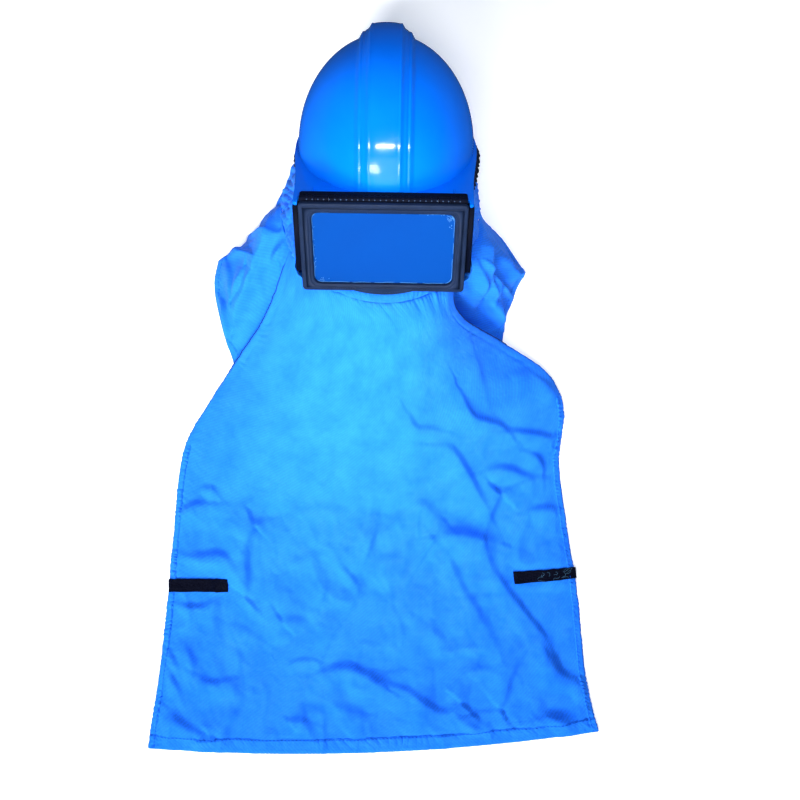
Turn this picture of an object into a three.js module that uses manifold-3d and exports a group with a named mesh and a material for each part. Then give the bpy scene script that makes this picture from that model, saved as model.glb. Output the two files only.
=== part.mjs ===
// Sandblasting hood: a hard shell with a hinged window, over a cape of cotton cloth.
//
// Millimetres. The hood lies on its back on the plane z = 0 with its face up. +Y runs from
// the hem to the crown and +Z is up. The origin is on the underside of the back panel,
// under the chest, on the mid plane of the shell.
//
// The shell and the window are drawn upright in their own frame, with the face towards -y
// and the crown towards +z, and are then laid back on the nape as one group.

import * as THREE from 'three';
import { mergeVertices } from 'three/addons/utils/BufferGeometryUtils.js';
import Module from 'manifold-3d';

const { Vector3 } = THREE;
const wasm = await Module();
wasm.setup();

// Room between neighbouring pieces, and the wall of one layer of cloth.
const CLEARANCE = 0.3;
const CLOTH = 1.6;

// How the shell lies: the place of the middle of its rim, and its turns.
const RIM_CENTRE_Y = 324;
const RIM_CENTRE_Z = 116;
const LEAN_BACK = THREE.MathUtils.degToRad(50);
const TURN_ASIDE = THREE.MathUtils.degToRad(0.9);

// Hard shell.
const SHELL_HALF_WIDTH = 111;
const SHELL_HALF_LENGTH = 137;
const SHELL_HEIGHT = 134;
const SHELL_WALL = 3;
const RIDGE_WIDTH = 68;
const RIDGE_RISE = 13;
const FLANGE_REACH = 4;
const FLANGE_THICK = 4.5;
const FLANGE_LOW = -2;
const PEAK_FRONT = 146;
const WING_FRONT = 157;
const WING_INNER = 99.5;
const WING_ROUND = 5;

// Black window base under the peak, with a cheek on each side.
const BASE_WIDTH = 195;
const BASE_HEIGHT = 110;
const BASE_DEPTH = 33;
const BASE_FRONT = 157.7;
const BASE_WALL = 7;
const BASE_ROUND = 6;
const CHEEK_THICK = 7.5;
const CHEEK_HEIGHT = 86;
const CHEEK_LENGTH_TOP = 62;
const CHEEK_LENGTH_LOW = 18;
const CHEEK_LAP = 1;

// Hinge over the window: a band on the peak with a row of knuckles on one pin.
const BAND_WIDTH = 194;
const BAND_THICK = 5.7;
const BAND_REAR = 140.5;
const BAND_FRONT = 150;
const BAND_ROUND = 4;
const WEB_INSET = 1;
const PIN_RADIUS = 1.8;
const KNUCKLE_RADIUS = 4;
const HINGE_Y = -153.6;
const HINGE_Z = 5;
const PIN_LENGTH = 190;
const FRAME_KNUCKLE_AT = 70;
const FRAME_KNUCKLE_LENGTH = 14;

// Hinged outer frame and its pane.
const FRAME_WIDTH = 195.5;
const FRAME_HEIGHT = 117;
const FRAME_DEPTH = 8;
const FRAME_TOP_BAR = 12;
const FRAME_LOW_BAR = 9.5;
const FRAME_SIDE_BAR = 14.5;
const FRAME_ROUND = 5;
const FRAME_BEVEL = 2;
const PANE_ROUND = 9;
const PANE_THICK = 2;
const PANE_LAP = 4;
const TAB_WIDTH = 72;
const TAB_DROP = 5.5;

// Black ruffled binding under the rim.
const BINDING_THICK = 1.6;
const BINDING_HEIGHT = 12;
const BINDING_HEIGHT_BACK = 6;
const BINDING_RUFFLE = 1.3;
const BINDING_START = 92;

// Cape: the neck seam is a slanting ring, high at the front and low at the back.
const HEM_WIDTH = 628;
const CAPE_LENGTH = 613;
const NECK_FRONT = 120.5;
const NECK_BACK = 388;
const NECK_WIDTH = 260;
const NECK_RISE = 147;
const NECK_REST = 6;
const NECK_SLIP = 8;
const COLLAR_GATHER = 1.2;
const PANEL_LAP_TURN = 60;
const PANEL_GATHER = 1.5;
const PANEL_GATHER_SHARE = 1 / 6;
const PANEL_FULLNESS = 2.4;
const FOLD_RISE = 9;
const FOLD_RUN = 0.7;
const LAY_AIR = 0.7;
const BACK_INSET = 5;

// Hook and loop tapes on the front panel.
const TAPE_LENGTH = 80;
const TAPE_WIDTH = 18;
const TAPE_THICK = 1.4;

// Places worked out from the sizes above.
const FLANGE_TOP = FLANGE_LOW + FLANGE_THICK;
const BASE_TOP = FLANGE_LOW - CLEARANCE;
const BAND_LOW = FLANGE_TOP + CLEARANCE;
const FRAME_REAR = BASE_FRONT + CLEARANCE;
const FRAME_TOP = HINGE_Z;
const LAID = CLOTH + CLEARANCE + CLOTH / 2;

// How finely curved pieces are cut.
const SHELL_ROWS = 16;
const SIDE_COLUMNS = 8;
const COLLAR_COLUMNS = 64;
const COLLAR_ROWS = 4;
const BINDING_COLUMNS = 60;
const PANEL_COLUMNS = 24;
const PANEL_ROWS = 30;
const SHOULDER_COLUMNS = 6;
const SHOULDER_ROWS = 18;
const ROUND_STEPS = 4;
const RIM_STEPS = 24;
const PIN_SIDES = 12;
const TAPE_STEPS = 8;

// Ridge across its width, in shares of half its width and of its rise.
const RIDGE_ACROSS = [
  { at: 0, rise: 1 },
  { at: 0.56, rise: 1 },
  { at: 0.68, rise: 0.62 },
  { at: 0.88, rise: 0.55 },
  { at: 1, rise: 0 },
];

// Ridge from the brow (0) over the crown (0.5) to the nape (1), in shares of its rise.
const RIDGE_ALONG = [
  { at: 0, rise: 0.08 },
  { at: 0.0625, rise: 0.33 },
  { at: 0.2, rise: 0.45 },
  { at: 0.5, rise: 0.95 },
  { at: 0.75, rise: 1 },
  { at: 1, rise: 0.5 },
];

// Upper edge of the collar round the window base and the rim, by degrees from the front.
// side, ahead and drop are shares of the shell's half width, half length and the base's height.
const COLLAR_TOP = [
  { turn: 0, side: 0, ahead: 1.02, drop: 1.038 },
  { turn: 24, side: 0.56, ahead: 1.02, drop: 1.038 },
  { turn: 40, side: 0.85, ahead: 1.02, drop: 1.038 },
  { turn: 45, side: 0.93, ahead: 1.02, drop: 0.96 },
  { turn: 50, side: 0.968, ahead: 1.03, drop: 0.85 },
  { turn: 56, side: 0.965, ahead: 1.03, drop: 0.75 },
  { turn: 62, side: 0.96, ahead: 0.95, drop: 0.62 },
  { turn: 70, side: 0.96, ahead: 0.82, drop: 0.4 },
  { turn: 77, side: 0.963, ahead: 0.71, drop: 0.2 },
  { turn: 84, side: 1, ahead: 0.62, drop: 0.15 },
  { turn: 96, side: 1.012, ahead: 0.29, drop: 0.142 },
  { turn: 110, side: 1.01, ahead: -0.07, drop: 0.138 },
  { turn: 135, side: 0.83, ahead: -0.58, drop: 0.112 },
  { turn: 160, side: 0.415, ahead: -0.925, drop: 0.093 },
  { turn: 180, side: 0, ahead: -1.008, drop: 0.088 },
];

// Front panel from under the window to the hem. Each row has its left edge, its middle and
// its right edge: x in shares of the hem's width, down in shares of the cape's length from
// the neck seam's front, and up in shares of the seam's height there.
const PANEL_SECTIONS = [
  {
    leftX: -0.244, leftDown: -0.011, leftUp: 0.48,
    midX: 0, midDown: 0.048, midUp: 0.895,
    rightX: 0.138, rightDown: -0.005, rightUp: 0.755,
  },
  {
    leftX: -0.275, leftDown: 0.038, leftUp: 0.33,
    midX: -0.003, midDown: 0.096, midUp: 0.757,
    rightX: 0.158, rightDown: 0.022, rightUp: 0.62,
  },
  {
    leftX: -0.312, leftDown: 0.084, leftUp: 0.19,
    midX: -0.005, midDown: 0.164, midUp: 0.592,
    rightX: 0.194, rightDown: 0.041, rightUp: 0.41,
  },
  {
    leftX: -0.341, leftDown: 0.121, leftUp: 0.07,
    midX: -0.01, midDown: 0.235, midUp: 0.44,
    rightX: 0.253, rightDown: 0.068, rightUp: 0.15,
  },
  {
    leftX: -0.392, leftDown: 0.196, leftUp: 0.02,
    midX: -0.015, midDown: 0.31, midUp: 0.294,
    rightX: 0.361, rightDown: 0.143, rightUp: 0.03,
  },
  {
    leftX: -0.444, leftDown: 0.287, leftUp: 0.005,
    midX: -0.022, midDown: 0.398, midUp: 0.15,
    rightX: 0.39, rightDown: 0.223, rightUp: 0.012,
  },
  {
    leftX: -0.464, leftDown: 0.378, leftUp: 0.003,
    midX: -0.028, midDown: 0.491, midUp: 0.05,
    rightX: 0.379, rightDown: 0.332, rightUp: 0.006,
  },
  {
    leftX: -0.473, leftDown: 0.492, leftUp: 0,
    midX: -0.032, midDown: 0.594, midUp: 0.012,
    rightX: 0.395, rightDown: 0.469, rightUp: 0.003,
  },
  {
    leftX: -0.488, leftDown: 0.652, leftUp: 0,
    midX: -0.034, midDown: 0.743, midUp: 0.005,
    rightX: 0.421, rightDown: 0.64, rightUp: 0,
  },
  {
    leftX: -0.508, leftDown: 0.834, leftUp: 0,
    midX: -0.034, midDown: 0.891, midUp: 0.003,
    rightX: 0.441, rightDown: 0.834, rightUp: 0,
  },
  {
    leftX: -0.532, leftDown: 0.989, leftUp: 0,
    midX: -0.034, midDown: 0.999, midUp: 0,
    rightX: 0.468, rightDown: 0.951, rightUp: 0,
  },
];

// The stretch of the neck seam that the front panel hangs from, in degrees from the front.
const PANEL_SEAM = { left: 64, right: -44 };

// Main folds of the front panel: from and to, in the panel's shares, with the width in shares
// of the cape's length and the height in shares of the fold rise.
const FOLDS = [
  { fromX: 0.15, fromDown: 0.14, toX: 0.19, toDown: 0.23, wide: 0.03, rise: 0.7 },
  { fromX: 0.19, fromDown: 0.23, toX: 0.28, toDown: 0.28, wide: 0.028, rise: 0.9 },
  { fromX: 0.28, fromDown: 0.28, toX: 0.36, toDown: 0.28, wide: 0.026, rise: 0.7 },
  { fromX: 0.14, fromDown: 0.3, toX: 0.18, toDown: 0.35, wide: 0.028, rise: 0.8 },
  { fromX: 0.18, fromDown: 0.35, toX: 0.22, toDown: 0.45, wide: 0.03, rise: 1 },
  { fromX: 0.22, fromDown: 0.45, toX: 0.29, toDown: 0.39, wide: 0.026, rise: 0.8 },
  { fromX: 0.11, fromDown: 0.49, toX: 0.23, toDown: 0.5, wide: 0.026, rise: 0.8 },
  { fromX: 0.11, fromDown: 0.52, toX: 0.2, toDown: 0.69, wide: 0.03, rise: 0.8 },
  { fromX: 0.22, fromDown: 0.55, toX: 0.31, toDown: 0.7, wide: 0.03, rise: 0.6 },
  { fromX: 0.02, fromDown: 0.83, toX: 0.11, toDown: 0.9, wide: 0.028, rise: 0.8 },
  { fromX: 0.11, fromDown: 0.9, toX: 0.26, toDown: 0.88, wide: 0.028, rise: 0.8 },
  { fromX: 0.26, fromDown: 0.88, toX: 0.3, toDown: 0.77, wide: 0.028, rise: 0.7 },
  { fromX: -0.45, fromDown: 0.53, toX: -0.33, toDown: 0.54, wide: 0.026, rise: 0.7 },
  { fromX: -0.28, fromDown: 0.47, toX: -0.33, toDown: 0.65, wide: 0.03, rise: 0.9 },
  { fromX: -0.48, fromDown: 0.78, toX: -0.45, toDown: 0.9, wide: 0.026, rise: 0.6 },
  { fromX: -0.09, fromDown: 0.64, toX: -0.16, toDown: 0.83, wide: 0.032, rise: 0.8 },
  { fromX: -0.16, fromDown: 0.83, toX: 0.02, toDown: 0.84, wide: 0.03, rise: 0.8 },
];

// Shoulder pieces from the nape round to the foot of the armhole. A row starts on the neck
// seam at a turn in degrees, or else under the front panel's edge, and ends on the outline.
const SHOULDER_LEFT = [
  { turn: 178.5, outX: -0.004, outDown: -0.44 },
  { turn: 150, outX: -0.119, outDown: -0.41 },
  { turn: 125, outX: -0.2, outDown: -0.345 },
  { turn: 105, outX: -0.228, outDown: -0.285 },
  { turn: 90, outX: -0.243, outDown: -0.23 },
  { turn: 81, outX: -0.317, outDown: -0.157 },
  { turn: 75, outX: -0.376, outDown: -0.12 },
  { inX: -0.193, inDown: -0.12, inUp: 0.69, outX: -0.384, outDown: -0.075 },
  { inX: -0.22, inDown: -0.006, inUp: 0.49, outX: -0.381, outDown: -0.032 },
  { inX: -0.252, inDown: 0.042, inUp: 0.35, outX: -0.373, outDown: 0.008 },
  { inX: -0.292, inDown: 0.088, inUp: 0.19, outX: -0.36, outDown: 0.055 },
  { inX: -0.323, inDown: 0.121, inUp: 0.05, outX: -0.344, outDown: 0.116 },
];
const SHOULDER_RIGHT = [
  { turn: -178.5, outX: 0.004, outDown: -0.44 },
  { turn: -150, outX: 0.119, outDown: -0.41 },
  { turn: -125, outX: 0.188, outDown: -0.345 },
  { turn: -105, outX: 0.2, outDown: -0.285 },
  { turn: -90, outX: 0.206, outDown: -0.22 },
  { turn: -78, outX: 0.255, outDown: -0.17 },
  { turn: -66, outX: 0.306, outDown: -0.093 },
  { turn: -55, outX: 0.288, outDown: -0.06 },
  { inX: 0.128, inDown: -0.06, inUp: 0.84, outX: 0.274, outDown: -0.02 },
  { inX: 0.118, inDown: 0.008, inUp: 0.75, outX: 0.265, outDown: 0 },
  { inX: 0.138, inDown: 0.034, inUp: 0.61, outX: 0.26, outDown: 0.02 },
  { inX: 0.172, inDown: 0.056, inUp: 0.4, outX: 0.258, outDown: 0.04 },
  { inX: 0.234, inDown: 0.077, inUp: 0.13, outX: 0.256, outDown: 0.062 },
];

// Where the tapes lie: the middle of each, in the panel's shares, and its slant in degrees.
const TAPES = [
  { name: 'tape_left', x: -0.4275, down: 0.62, slant: 0 },
  { name: 'tape_right', x: 0.3595, down: 0.594, slant: 5 },
];

const MATERIALS = {
  shell: new THREE.MeshStandardMaterial({ color: 0x0a6af0, roughness: 0.25, metalness: 0 }),
  cloth: new THREE.MeshStandardMaterial({ color: 0x1f7fee, roughness: 0.85, metalness: 0 }),
  rubber: new THREE.MeshStandardMaterial({ color: 0x181f30, roughness: 0.55, metalness: 0 }),
  pane: new THREE.MeshStandardMaterial({ color: 0x146eeb, roughness: 0.3, metalness: 0 }),
  trim: new THREE.MeshStandardMaterial({ color: 0x0d1020, roughness: 0.9, metalness: 0 }),
  steel: new THREE.MeshStandardMaterial({ color: 0x8a9098, roughness: 0.35, metalness: 1 }),
};

// Value of one column of a table at a place between its rows.
function tabled(table, along, column, place) {
  const last = table.length - 1;
  let low = 0;
  while (low < last - 1 && table[low + 1][along] < place) low += 1;
  const span = table[low + 1][along] - table[low][along];
  const share = THREE.MathUtils.clamp((place - table[low][along]) / span, 0, 1);
  return THREE.MathUtils.lerp(table[low][column], table[low + 1][column], share);
}

function signedVolume(geometry) {
  const place = geometry.getAttribute('position');
  const index = geometry.index.array;
  const [a, b, c] = [new Vector3(), new Vector3(), new Vector3()];
  let volume = 0;
  for (let i = 0; i < index.length; i += 3) {
    a.fromBufferAttribute(place, index[i]);
    b.fromBufferAttribute(place, index[i + 1]);
    c.fromBufferAttribute(place, index[i + 2]);
    volume += a.dot(b.cross(c)) / 6;
  }
  return volume;
}

// One closed body from points and triangles, with its faces pointing out.
function closedBody(points, triangles) {
  const raw = new THREE.BufferGeometry().setFromPoints(points);
  raw.setIndex(triangles);
  const merged = mergeVertices(raw, 1e-4);
  const index = merged.index.array;
  const kept = [];
  for (let i = 0; i < index.length; i += 3) {
    const [a, b, c] = [index[i], index[i + 1], index[i + 2]];
    if (a !== b && b !== c && c !== a) kept.push(a, b, c);
  }
  merged.setIndex(kept);
  if (signedVolume(merged) < 0) merged.setIndex(kept.reverse());
  merged.computeVertexNormals();
  return merged;
}

// Body between two grids of points with the same rows and columns. A ring joins its last
// column to its first.
function wallBetween(outer, inner, ring) {
  const rows = outer.length;
  const columns = outer[0].length;
  const across = ring ? columns : columns - 1;
  const triangles = [];
  const at = (side, r, c) => side * rows * columns + r * columns + (c % columns);
  const quad = (a, b, c, d) => triangles.push(a, b, c, a, c, d);
  for (let r = 0; r < rows - 1; r += 1) {
    for (let c = 0; c < across; c += 1) {
      quad(at(0, r, c), at(0, r, c + 1), at(0, r + 1, c + 1), at(0, r + 1, c));
      quad(at(1, r, c), at(1, r + 1, c), at(1, r + 1, c + 1), at(1, r, c + 1));
    }
  }
  const top = rows - 1;
  for (let c = 0; c < across; c += 1) {
    quad(at(0, 0, c), at(1, 0, c), at(1, 0, c + 1), at(0, 0, c + 1));
    quad(at(0, top, c), at(0, top, c + 1), at(1, top, c + 1), at(1, top, c));
  }
  const side = columns - 1;
  for (let r = 0; !ring && r < rows - 1; r += 1) {
    quad(at(0, r, 0), at(0, r + 1, 0), at(1, r + 1, 0), at(1, r, 0));
    quad(at(0, r, side), at(1, r, side), at(1, r + 1, side), at(0, r + 1, side));
  }
  return closedBody([...outer.flat(), ...inner.flat()], triangles);
}

// Sheet of even thickness whose middle surface is the grid.
function sheet(grid, thick, ring) {
  const rows = grid.length;
  const columns = grid[0].length;
  const near = (c) => (ring ? (c + columns) % columns : THREE.MathUtils.clamp(c, 0, columns - 1));
  const faces = [[], []];
  for (let r = 0; r < rows; r += 1) {
    faces.forEach((face) => face.push([]));
    for (let c = 0; c < columns; c += 1) {
      const across = grid[r][near(c + 1)].clone().sub(grid[r][near(c - 1)]);
      const along = grid[Math.min(r + 1, rows - 1)][c].clone().sub(grid[Math.max(r - 1, 0)][c]);
      const normal = across.cross(along).setLength(thick / 2);
      faces[0][r].push(grid[r][c].clone().add(normal));
      faces[1][r].push(grid[r][c].clone().sub(normal));
    }
  }
  return wallBetween(faces[0], faces[1], ring);
}

function solidOf(geometry) {
  const bare = geometry.clone();
  bare.deleteAttribute('normal');
  bare.deleteAttribute('uv');
  const merged = mergeVertices(bare, 1e-4);
  return new wasm.Manifold(new wasm.Mesh({
    numProp: 3,
    vertProperties: new Float32Array(merged.getAttribute('position').array),
    triVerts: new Uint32Array(merged.index.array),
  }));
}

function geometryOf(solid) {
  const mesh = solid.getMesh();
  const geometry = new THREE.BufferGeometry();
  geometry.setAttribute('position', new THREE.BufferAttribute(new Float32Array(mesh.vertProperties), 3));
  geometry.setIndex([...mesh.triVerts]);
  geometry.computeVertexNormals();
  return geometry;
}

function joined(...geometries) {
  return geometryOf(geometries.map(solidOf).reduce((sum, next) => sum.add(next)));
}

function cutBy(geometry, ...tools) {
  return geometryOf(tools.map(solidOf).reduce((rest, tool) => rest.subtract(tool), solidOf(geometry)));
}

// Outline of a rectangle with round corners, from its low left corner.
function roundedOutline(path, x, y, width, height, round) {
  const [right, top] = [x + width, y + height];
  path.moveTo(x + round, y);
  path.lineTo(right - round, y);
  path.absarc(right - round, y + round, round, -Math.PI / 2, 0);
  path.lineTo(right, top - round);
  path.absarc(right - round, top - round, round, 0, Math.PI / 2);
  path.lineTo(x + round, top);
  path.absarc(x + round, top - round, round, Math.PI / 2, Math.PI);
  path.lineTo(x, y + round);
  path.absarc(x + round, y + round, round, Math.PI, Math.PI * 1.5);
  return path;
}

// A shape drawn in x and z, given its depth backwards from the plane y = -front.
function frontPlate(shape, front, depth, options = {}) {
  const plate = new THREE.ExtrudeGeometry(shape, {
    depth, bevelEnabled: false, curveSegments: ROUND_STEPS, ...options,
  });
  return plate.rotateX(Math.PI / 2).translate(0, depth - front, 0);
}

function rodAlongX(radius, length, middle) {
  const rod = new THREE.CylinderGeometry(radius, radius, length, PIN_SIDES);
  return rod.rotateZ(Math.PI / 2).translate(middle, HINGE_Y, HINGE_Z);
}

// Shell: rows run from the brow over the crown to the nape, columns from side to side.
function shellColumns() {
  const half = RIDGE_WIDTH / 2;
  const columns = RIDGE_ACROSS.map((row) => Math.asin(row.at * half / SHELL_HALF_WIDTH));
  const edge = columns[columns.length - 1];
  for (let i = 1; i <= SIDE_COLUMNS; i += 1) {
    columns.push(THREE.MathUtils.lerp(edge, Math.PI / 2, i / SIDE_COLUMNS));
  }
  return [...columns.slice(1).reverse().map((angle) => -angle), ...columns];
}

function shellSurface(inset) {
  const width = SHELL_HALF_WIDTH - inset;
  const length = SHELL_HALF_LENGTH - inset;
  const height = SHELL_HEIGHT - inset;
  const rows = [];
  for (let r = 0; r <= SHELL_ROWS; r += 1) {
    const share = r / SHELL_ROWS;
    const lift = Math.PI * share;
    const out = new Vector3(0, -Math.cos(lift) / length, Math.sin(lift) / height).normalize();
    const along = RIDGE_RISE * tabled(RIDGE_ALONG, 'at', 'rise', share);
    rows.push(shellColumns().map((side) => {
      const reach = Math.cos(side);
      const fromMiddle = Math.abs(Math.sin(side)) * SHELL_HALF_WIDTH / (RIDGE_WIDTH / 2);
      const rise = along * (fromMiddle < 1 ? tabled(RIDGE_ACROSS, 'at', 'rise', fromMiddle) : 0);
      const place = new Vector3(
        width * Math.sin(side),
        -length * Math.cos(lift) * reach,
        height * Math.sin(lift) * reach,
      );
      return place.addScaledVector(out, rise);
    }));
  }
  return rows;
}

// Rolled rim with a square peak, whose wings reach forward beside the hinge.
function flange() {
  const half = SHELL_HALF_WIDTH + FLANGE_REACH;
  const wing = BASE_WIDTH / 2 + CHEEK_THICK;
  const outline = new THREE.Shape();
  outline.absellipse(0, 0, half, SHELL_HALF_LENGTH + FLANGE_REACH, 0, Math.PI);
  outline.bezierCurveTo(-half, -PEAK_FRONT / 3, -wing, -PEAK_FRONT / 2, -wing, WING_ROUND - WING_FRONT);
  outline.quadraticCurveTo(-wing, -WING_FRONT, -WING_INNER, -WING_FRONT);
  outline.lineTo(-WING_INNER, -PEAK_FRONT);
  outline.lineTo(WING_INNER, -PEAK_FRONT);
  outline.lineTo(WING_INNER, -WING_FRONT);
  outline.quadraticCurveTo(wing, -WING_FRONT, wing, WING_ROUND - WING_FRONT);
  outline.bezierCurveTo(wing, -PEAK_FRONT / 2, half, -PEAK_FRONT / 3, half, 0);
  const hole = new THREE.Path();
  const inWall = SHELL_WALL / 2;
  hole.absellipse(0, 0, SHELL_HALF_WIDTH - inWall, SHELL_HALF_LENGTH - inWall, 0, Math.PI * 2);
  outline.holes.push(hole);
  const ring = new THREE.ExtrudeGeometry(outline, {
    depth: FLANGE_THICK, bevelEnabled: false, curveSegments: RIM_STEPS,
  });
  return ring.translate(0, 0, FLANGE_LOW);
}

function helmetShell() {
  return joined(wallBetween(shellSurface(0), shellSurface(SHELL_WALL), false), flange());
}

function visorBase() {
  const [half, low] = [BASE_WIDTH / 2, BASE_TOP - BASE_HEIGHT];
  const ring = roundedOutline(new THREE.Shape(), -half, low, BASE_WIDTH, BASE_HEIGHT, BASE_ROUND);
  ring.holes.push(roundedOutline(
    new THREE.Path(),
    BASE_WALL - half,
    low + BASE_WALL,
    BASE_WIDTH - BASE_WALL * 2,
    BASE_HEIGHT - BASE_WALL * 2,
    BASE_ROUND,
  ));
  const cheeks = [-1, 1].map((side) => {
    const outline = new THREE.Shape();
    outline.moveTo(-BASE_FRONT, BASE_TOP);
    outline.lineTo(-BASE_FRONT, BASE_TOP - CHEEK_HEIGHT);
    outline.lineTo(CHEEK_LENGTH_LOW - BASE_FRONT, BASE_TOP - CHEEK_HEIGHT);
    outline.lineTo(CHEEK_LENGTH_TOP - BASE_FRONT, BASE_TOP - CHEEK_HEIGHT / 4);
    outline.lineTo(CHEEK_LENGTH_TOP - BASE_FRONT, BASE_TOP);
    const cheek = new THREE.ExtrudeGeometry(outline, {
      depth: CHEEK_THICK + CHEEK_LAP, bevelEnabled: false,
    });
    cheek.rotateY(Math.PI / 2).rotateX(Math.PI / 2);
    return cheek.translate(side > 0 ? half - CHEEK_LAP : -half - CHEEK_THICK, 0, 0);
  });
  return joined(frontPlate(ring, BASE_FRONT, BASE_DEPTH), ...cheeks);
}

// The stretches along the pin that are the band's knuckles, between those of the frame.
function bandKnuckles() {
  const room = FRAME_KNUCKLE_LENGTH / 2 + CLEARANCE;
  const inner = FRAME_KNUCKLE_AT - room;
  const outer = FRAME_KNUCKLE_AT + room;
  const end = BAND_WIDTH / 2;
  return [[-end, -outer], [-inner, inner], [outer, end]];
}

function hingeBand() {
  const outline = roundedOutline(
    new THREE.Shape(), -BAND_WIDTH / 2, -BAND_FRONT, BAND_WIDTH, BAND_FRONT - BAND_REAR, BAND_ROUND,
  );
  const plate = new THREE.ExtrudeGeometry(outline, {
    depth: BAND_THICK, bevelEnabled: false, curveSegments: ROUND_STEPS,
  });
  const knuckles = bandKnuckles().map(([from, to]) => {
    const length = to - from;
    const web = new THREE.BoxGeometry(length - BAND_ROUND, BAND_ROUND * 2, BAND_THICK - WEB_INSET);
    const barrel = rodAlongX(KNUCKLE_RADIUS, length, (from + to) / 2);
    const webY = WEB_INSET - BAND_FRONT;
    return joined(barrel, web.translate((from + to) / 2, webY, BAND_LOW + BAND_THICK / 2));
  });
  const bore = rodAlongX(PIN_RADIUS + CLEARANCE, BAND_WIDTH * 2, 0);
  const gaps = [-FRAME_KNUCKLE_AT, FRAME_KNUCKLE_AT].map((middle) => (
    rodAlongX(KNUCKLE_RADIUS + CLEARANCE * 2, FRAME_KNUCKLE_LENGTH + CLEARANCE * 2, middle)
  ));
  return cutBy(joined(plate.translate(0, 0, BAND_LOW), ...knuckles), bore, ...gaps);
}

function frameOutline() {
  const shape = new THREE.Shape();
  const half = FRAME_WIDTH / 2 - FRAME_BEVEL;
  const top = FRAME_TOP - FRAME_BEVEL;
  const low = FRAME_TOP - FRAME_HEIGHT + FRAME_BEVEL;
  const round = FRAME_ROUND;
  shape.moveTo(half, low + round);
  shape.absarc(half - round, top - round, round, 0, Math.PI / 2);
  shape.absarc(round - half, top - round, round, Math.PI / 2, Math.PI);
  shape.absarc(round - half, low + round, round, Math.PI, Math.PI * 1.5);
  shape.lineTo(-TAB_WIDTH / 2, low);
  shape.quadraticCurveTo(0, low - TAB_DROP * 2, TAB_WIDTH / 2, low);
  shape.absarc(half - round, low + round, round, -Math.PI / 2, 0);
  return shape;
}

function paneOpening(path, grow, round) {
  const width = FRAME_WIDTH - FRAME_SIDE_BAR * 2;
  const height = FRAME_HEIGHT - FRAME_TOP_BAR - FRAME_LOW_BAR;
  const low = FRAME_TOP - FRAME_HEIGHT + FRAME_LOW_BAR;
  return roundedOutline(path, -width / 2 - grow, low - grow, width + grow * 2, height + grow * 2, round);
}

function windowFrame() {
  const shape = frameOutline();
  shape.holes.push(paneOpening(new THREE.Path(), FRAME_BEVEL, PANE_ROUND));
  const front = FRAME_REAR + FRAME_DEPTH - FRAME_BEVEL;
  const ring = frontPlate(shape, front, FRAME_DEPTH - FRAME_BEVEL * 2, {
    bevelEnabled: true, bevelSize: FRAME_BEVEL, bevelThickness: FRAME_BEVEL, bevelSegments: 2,
  });
  const seat = PANE_THICK + CLEARANCE;
  const rabbet = frontPlate(
    paneOpening(new THREE.Shape(), PANE_LAP + CLEARANCE, PANE_ROUND), FRAME_REAR + seat, seat * 2,
  );
  const lugs = [-1, 1].map((side) => {
    const reach = FRAME_REAR + FRAME_BEVEL + HINGE_Y;
    const web = new THREE.BoxGeometry(FRAME_KNUCKLE_LENGTH, reach, KNUCKLE_RADIUS);
    web.translate(side * FRAME_KNUCKLE_AT, HINGE_Y - reach / 2, HINGE_Z - KNUCKLE_RADIUS / 2);
    return joined(rodAlongX(KNUCKLE_RADIUS, FRAME_KNUCKLE_LENGTH, side * FRAME_KNUCKLE_AT), web);
  });
  const bore = rodAlongX(PIN_RADIUS + CLEARANCE, FRAME_WIDTH, 0);
  return cutBy(joined(cutBy(ring, rabbet), ...lugs), bore);
}

function windowPane() {
  const outline = paneOpening(new THREE.Shape(), PANE_LAP, PANE_ROUND);
  return frontPlate(outline, FRAME_REAR + PANE_THICK, PANE_THICK);
}

// Ruffled band under the rim, from behind one cheek round the nape to the other.
function rimBinding() {
  const middle = SHELL_HALF_WIDTH + FLANGE_REACH - BINDING_RUFFLE * 2;
  const length = SHELL_HALF_LENGTH + FLANGE_REACH - BINDING_RUFFLE * 2;
  const start = Math.asin(BINDING_START / length);
  const rows = [[], []];
  for (let c = 0; c <= BINDING_COLUMNS; c += 1) {
    const share = c / BINDING_COLUMNS;
    const turn = THREE.MathUtils.lerp(-start, Math.PI + start, share);
    const out = c % 2 ? BINDING_RUFFLE : -BINDING_RUFFLE;
    const back = Math.max(Math.sin(turn), 0);
    const height = THREE.MathUtils.lerp(BINDING_HEIGHT, BINDING_HEIGHT_BACK, back);
    const [x, y] = [(middle + out) * Math.cos(turn), (length + out) * Math.sin(turn)];
    const top = FLANGE_LOW - CLEARANCE;
    rows[0].push(new Vector3(x, y, top));
    rows[1].push(new Vector3(middle * Math.cos(turn), length * Math.sin(turn), top - height));
  }
  return sheet(rows, BINDING_THICK, false);
}

// Places on the cape.
function capePoint(x, down, up) {
  return new Vector3(x * HEM_WIDTH, NECK_FRONT - down * CAPE_LENGTH, LAID + up * (NECK_RISE - LAID));
}

function neckPoint(degrees) {
  const turn = THREE.MathUtils.degToRad(degrees);
  const back = (1 - Math.cos(turn)) / 2;
  return new Vector3(
    -Math.sin(turn) * NECK_WIDTH / 2 - NECK_SLIP * Math.sin(turn) ** 2,
    THREE.MathUtils.lerp(NECK_FRONT, NECK_BACK, back),
    THREE.MathUtils.lerp(NECK_RISE, NECK_REST, back),
  );
}

// The shell's own frame as it lies.
function layBack(object) {
  const laid = new THREE.Group();
  laid.rotation.x = -LEAN_BACK;
  laid.add(object);
  const turned = new THREE.Group();
  turned.position.set(0, RIM_CENTRE_Y, RIM_CENTRE_Z);
  turned.rotation.z = -TURN_ASIDE;
  turned.add(laid);
  return turned;
}

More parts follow.
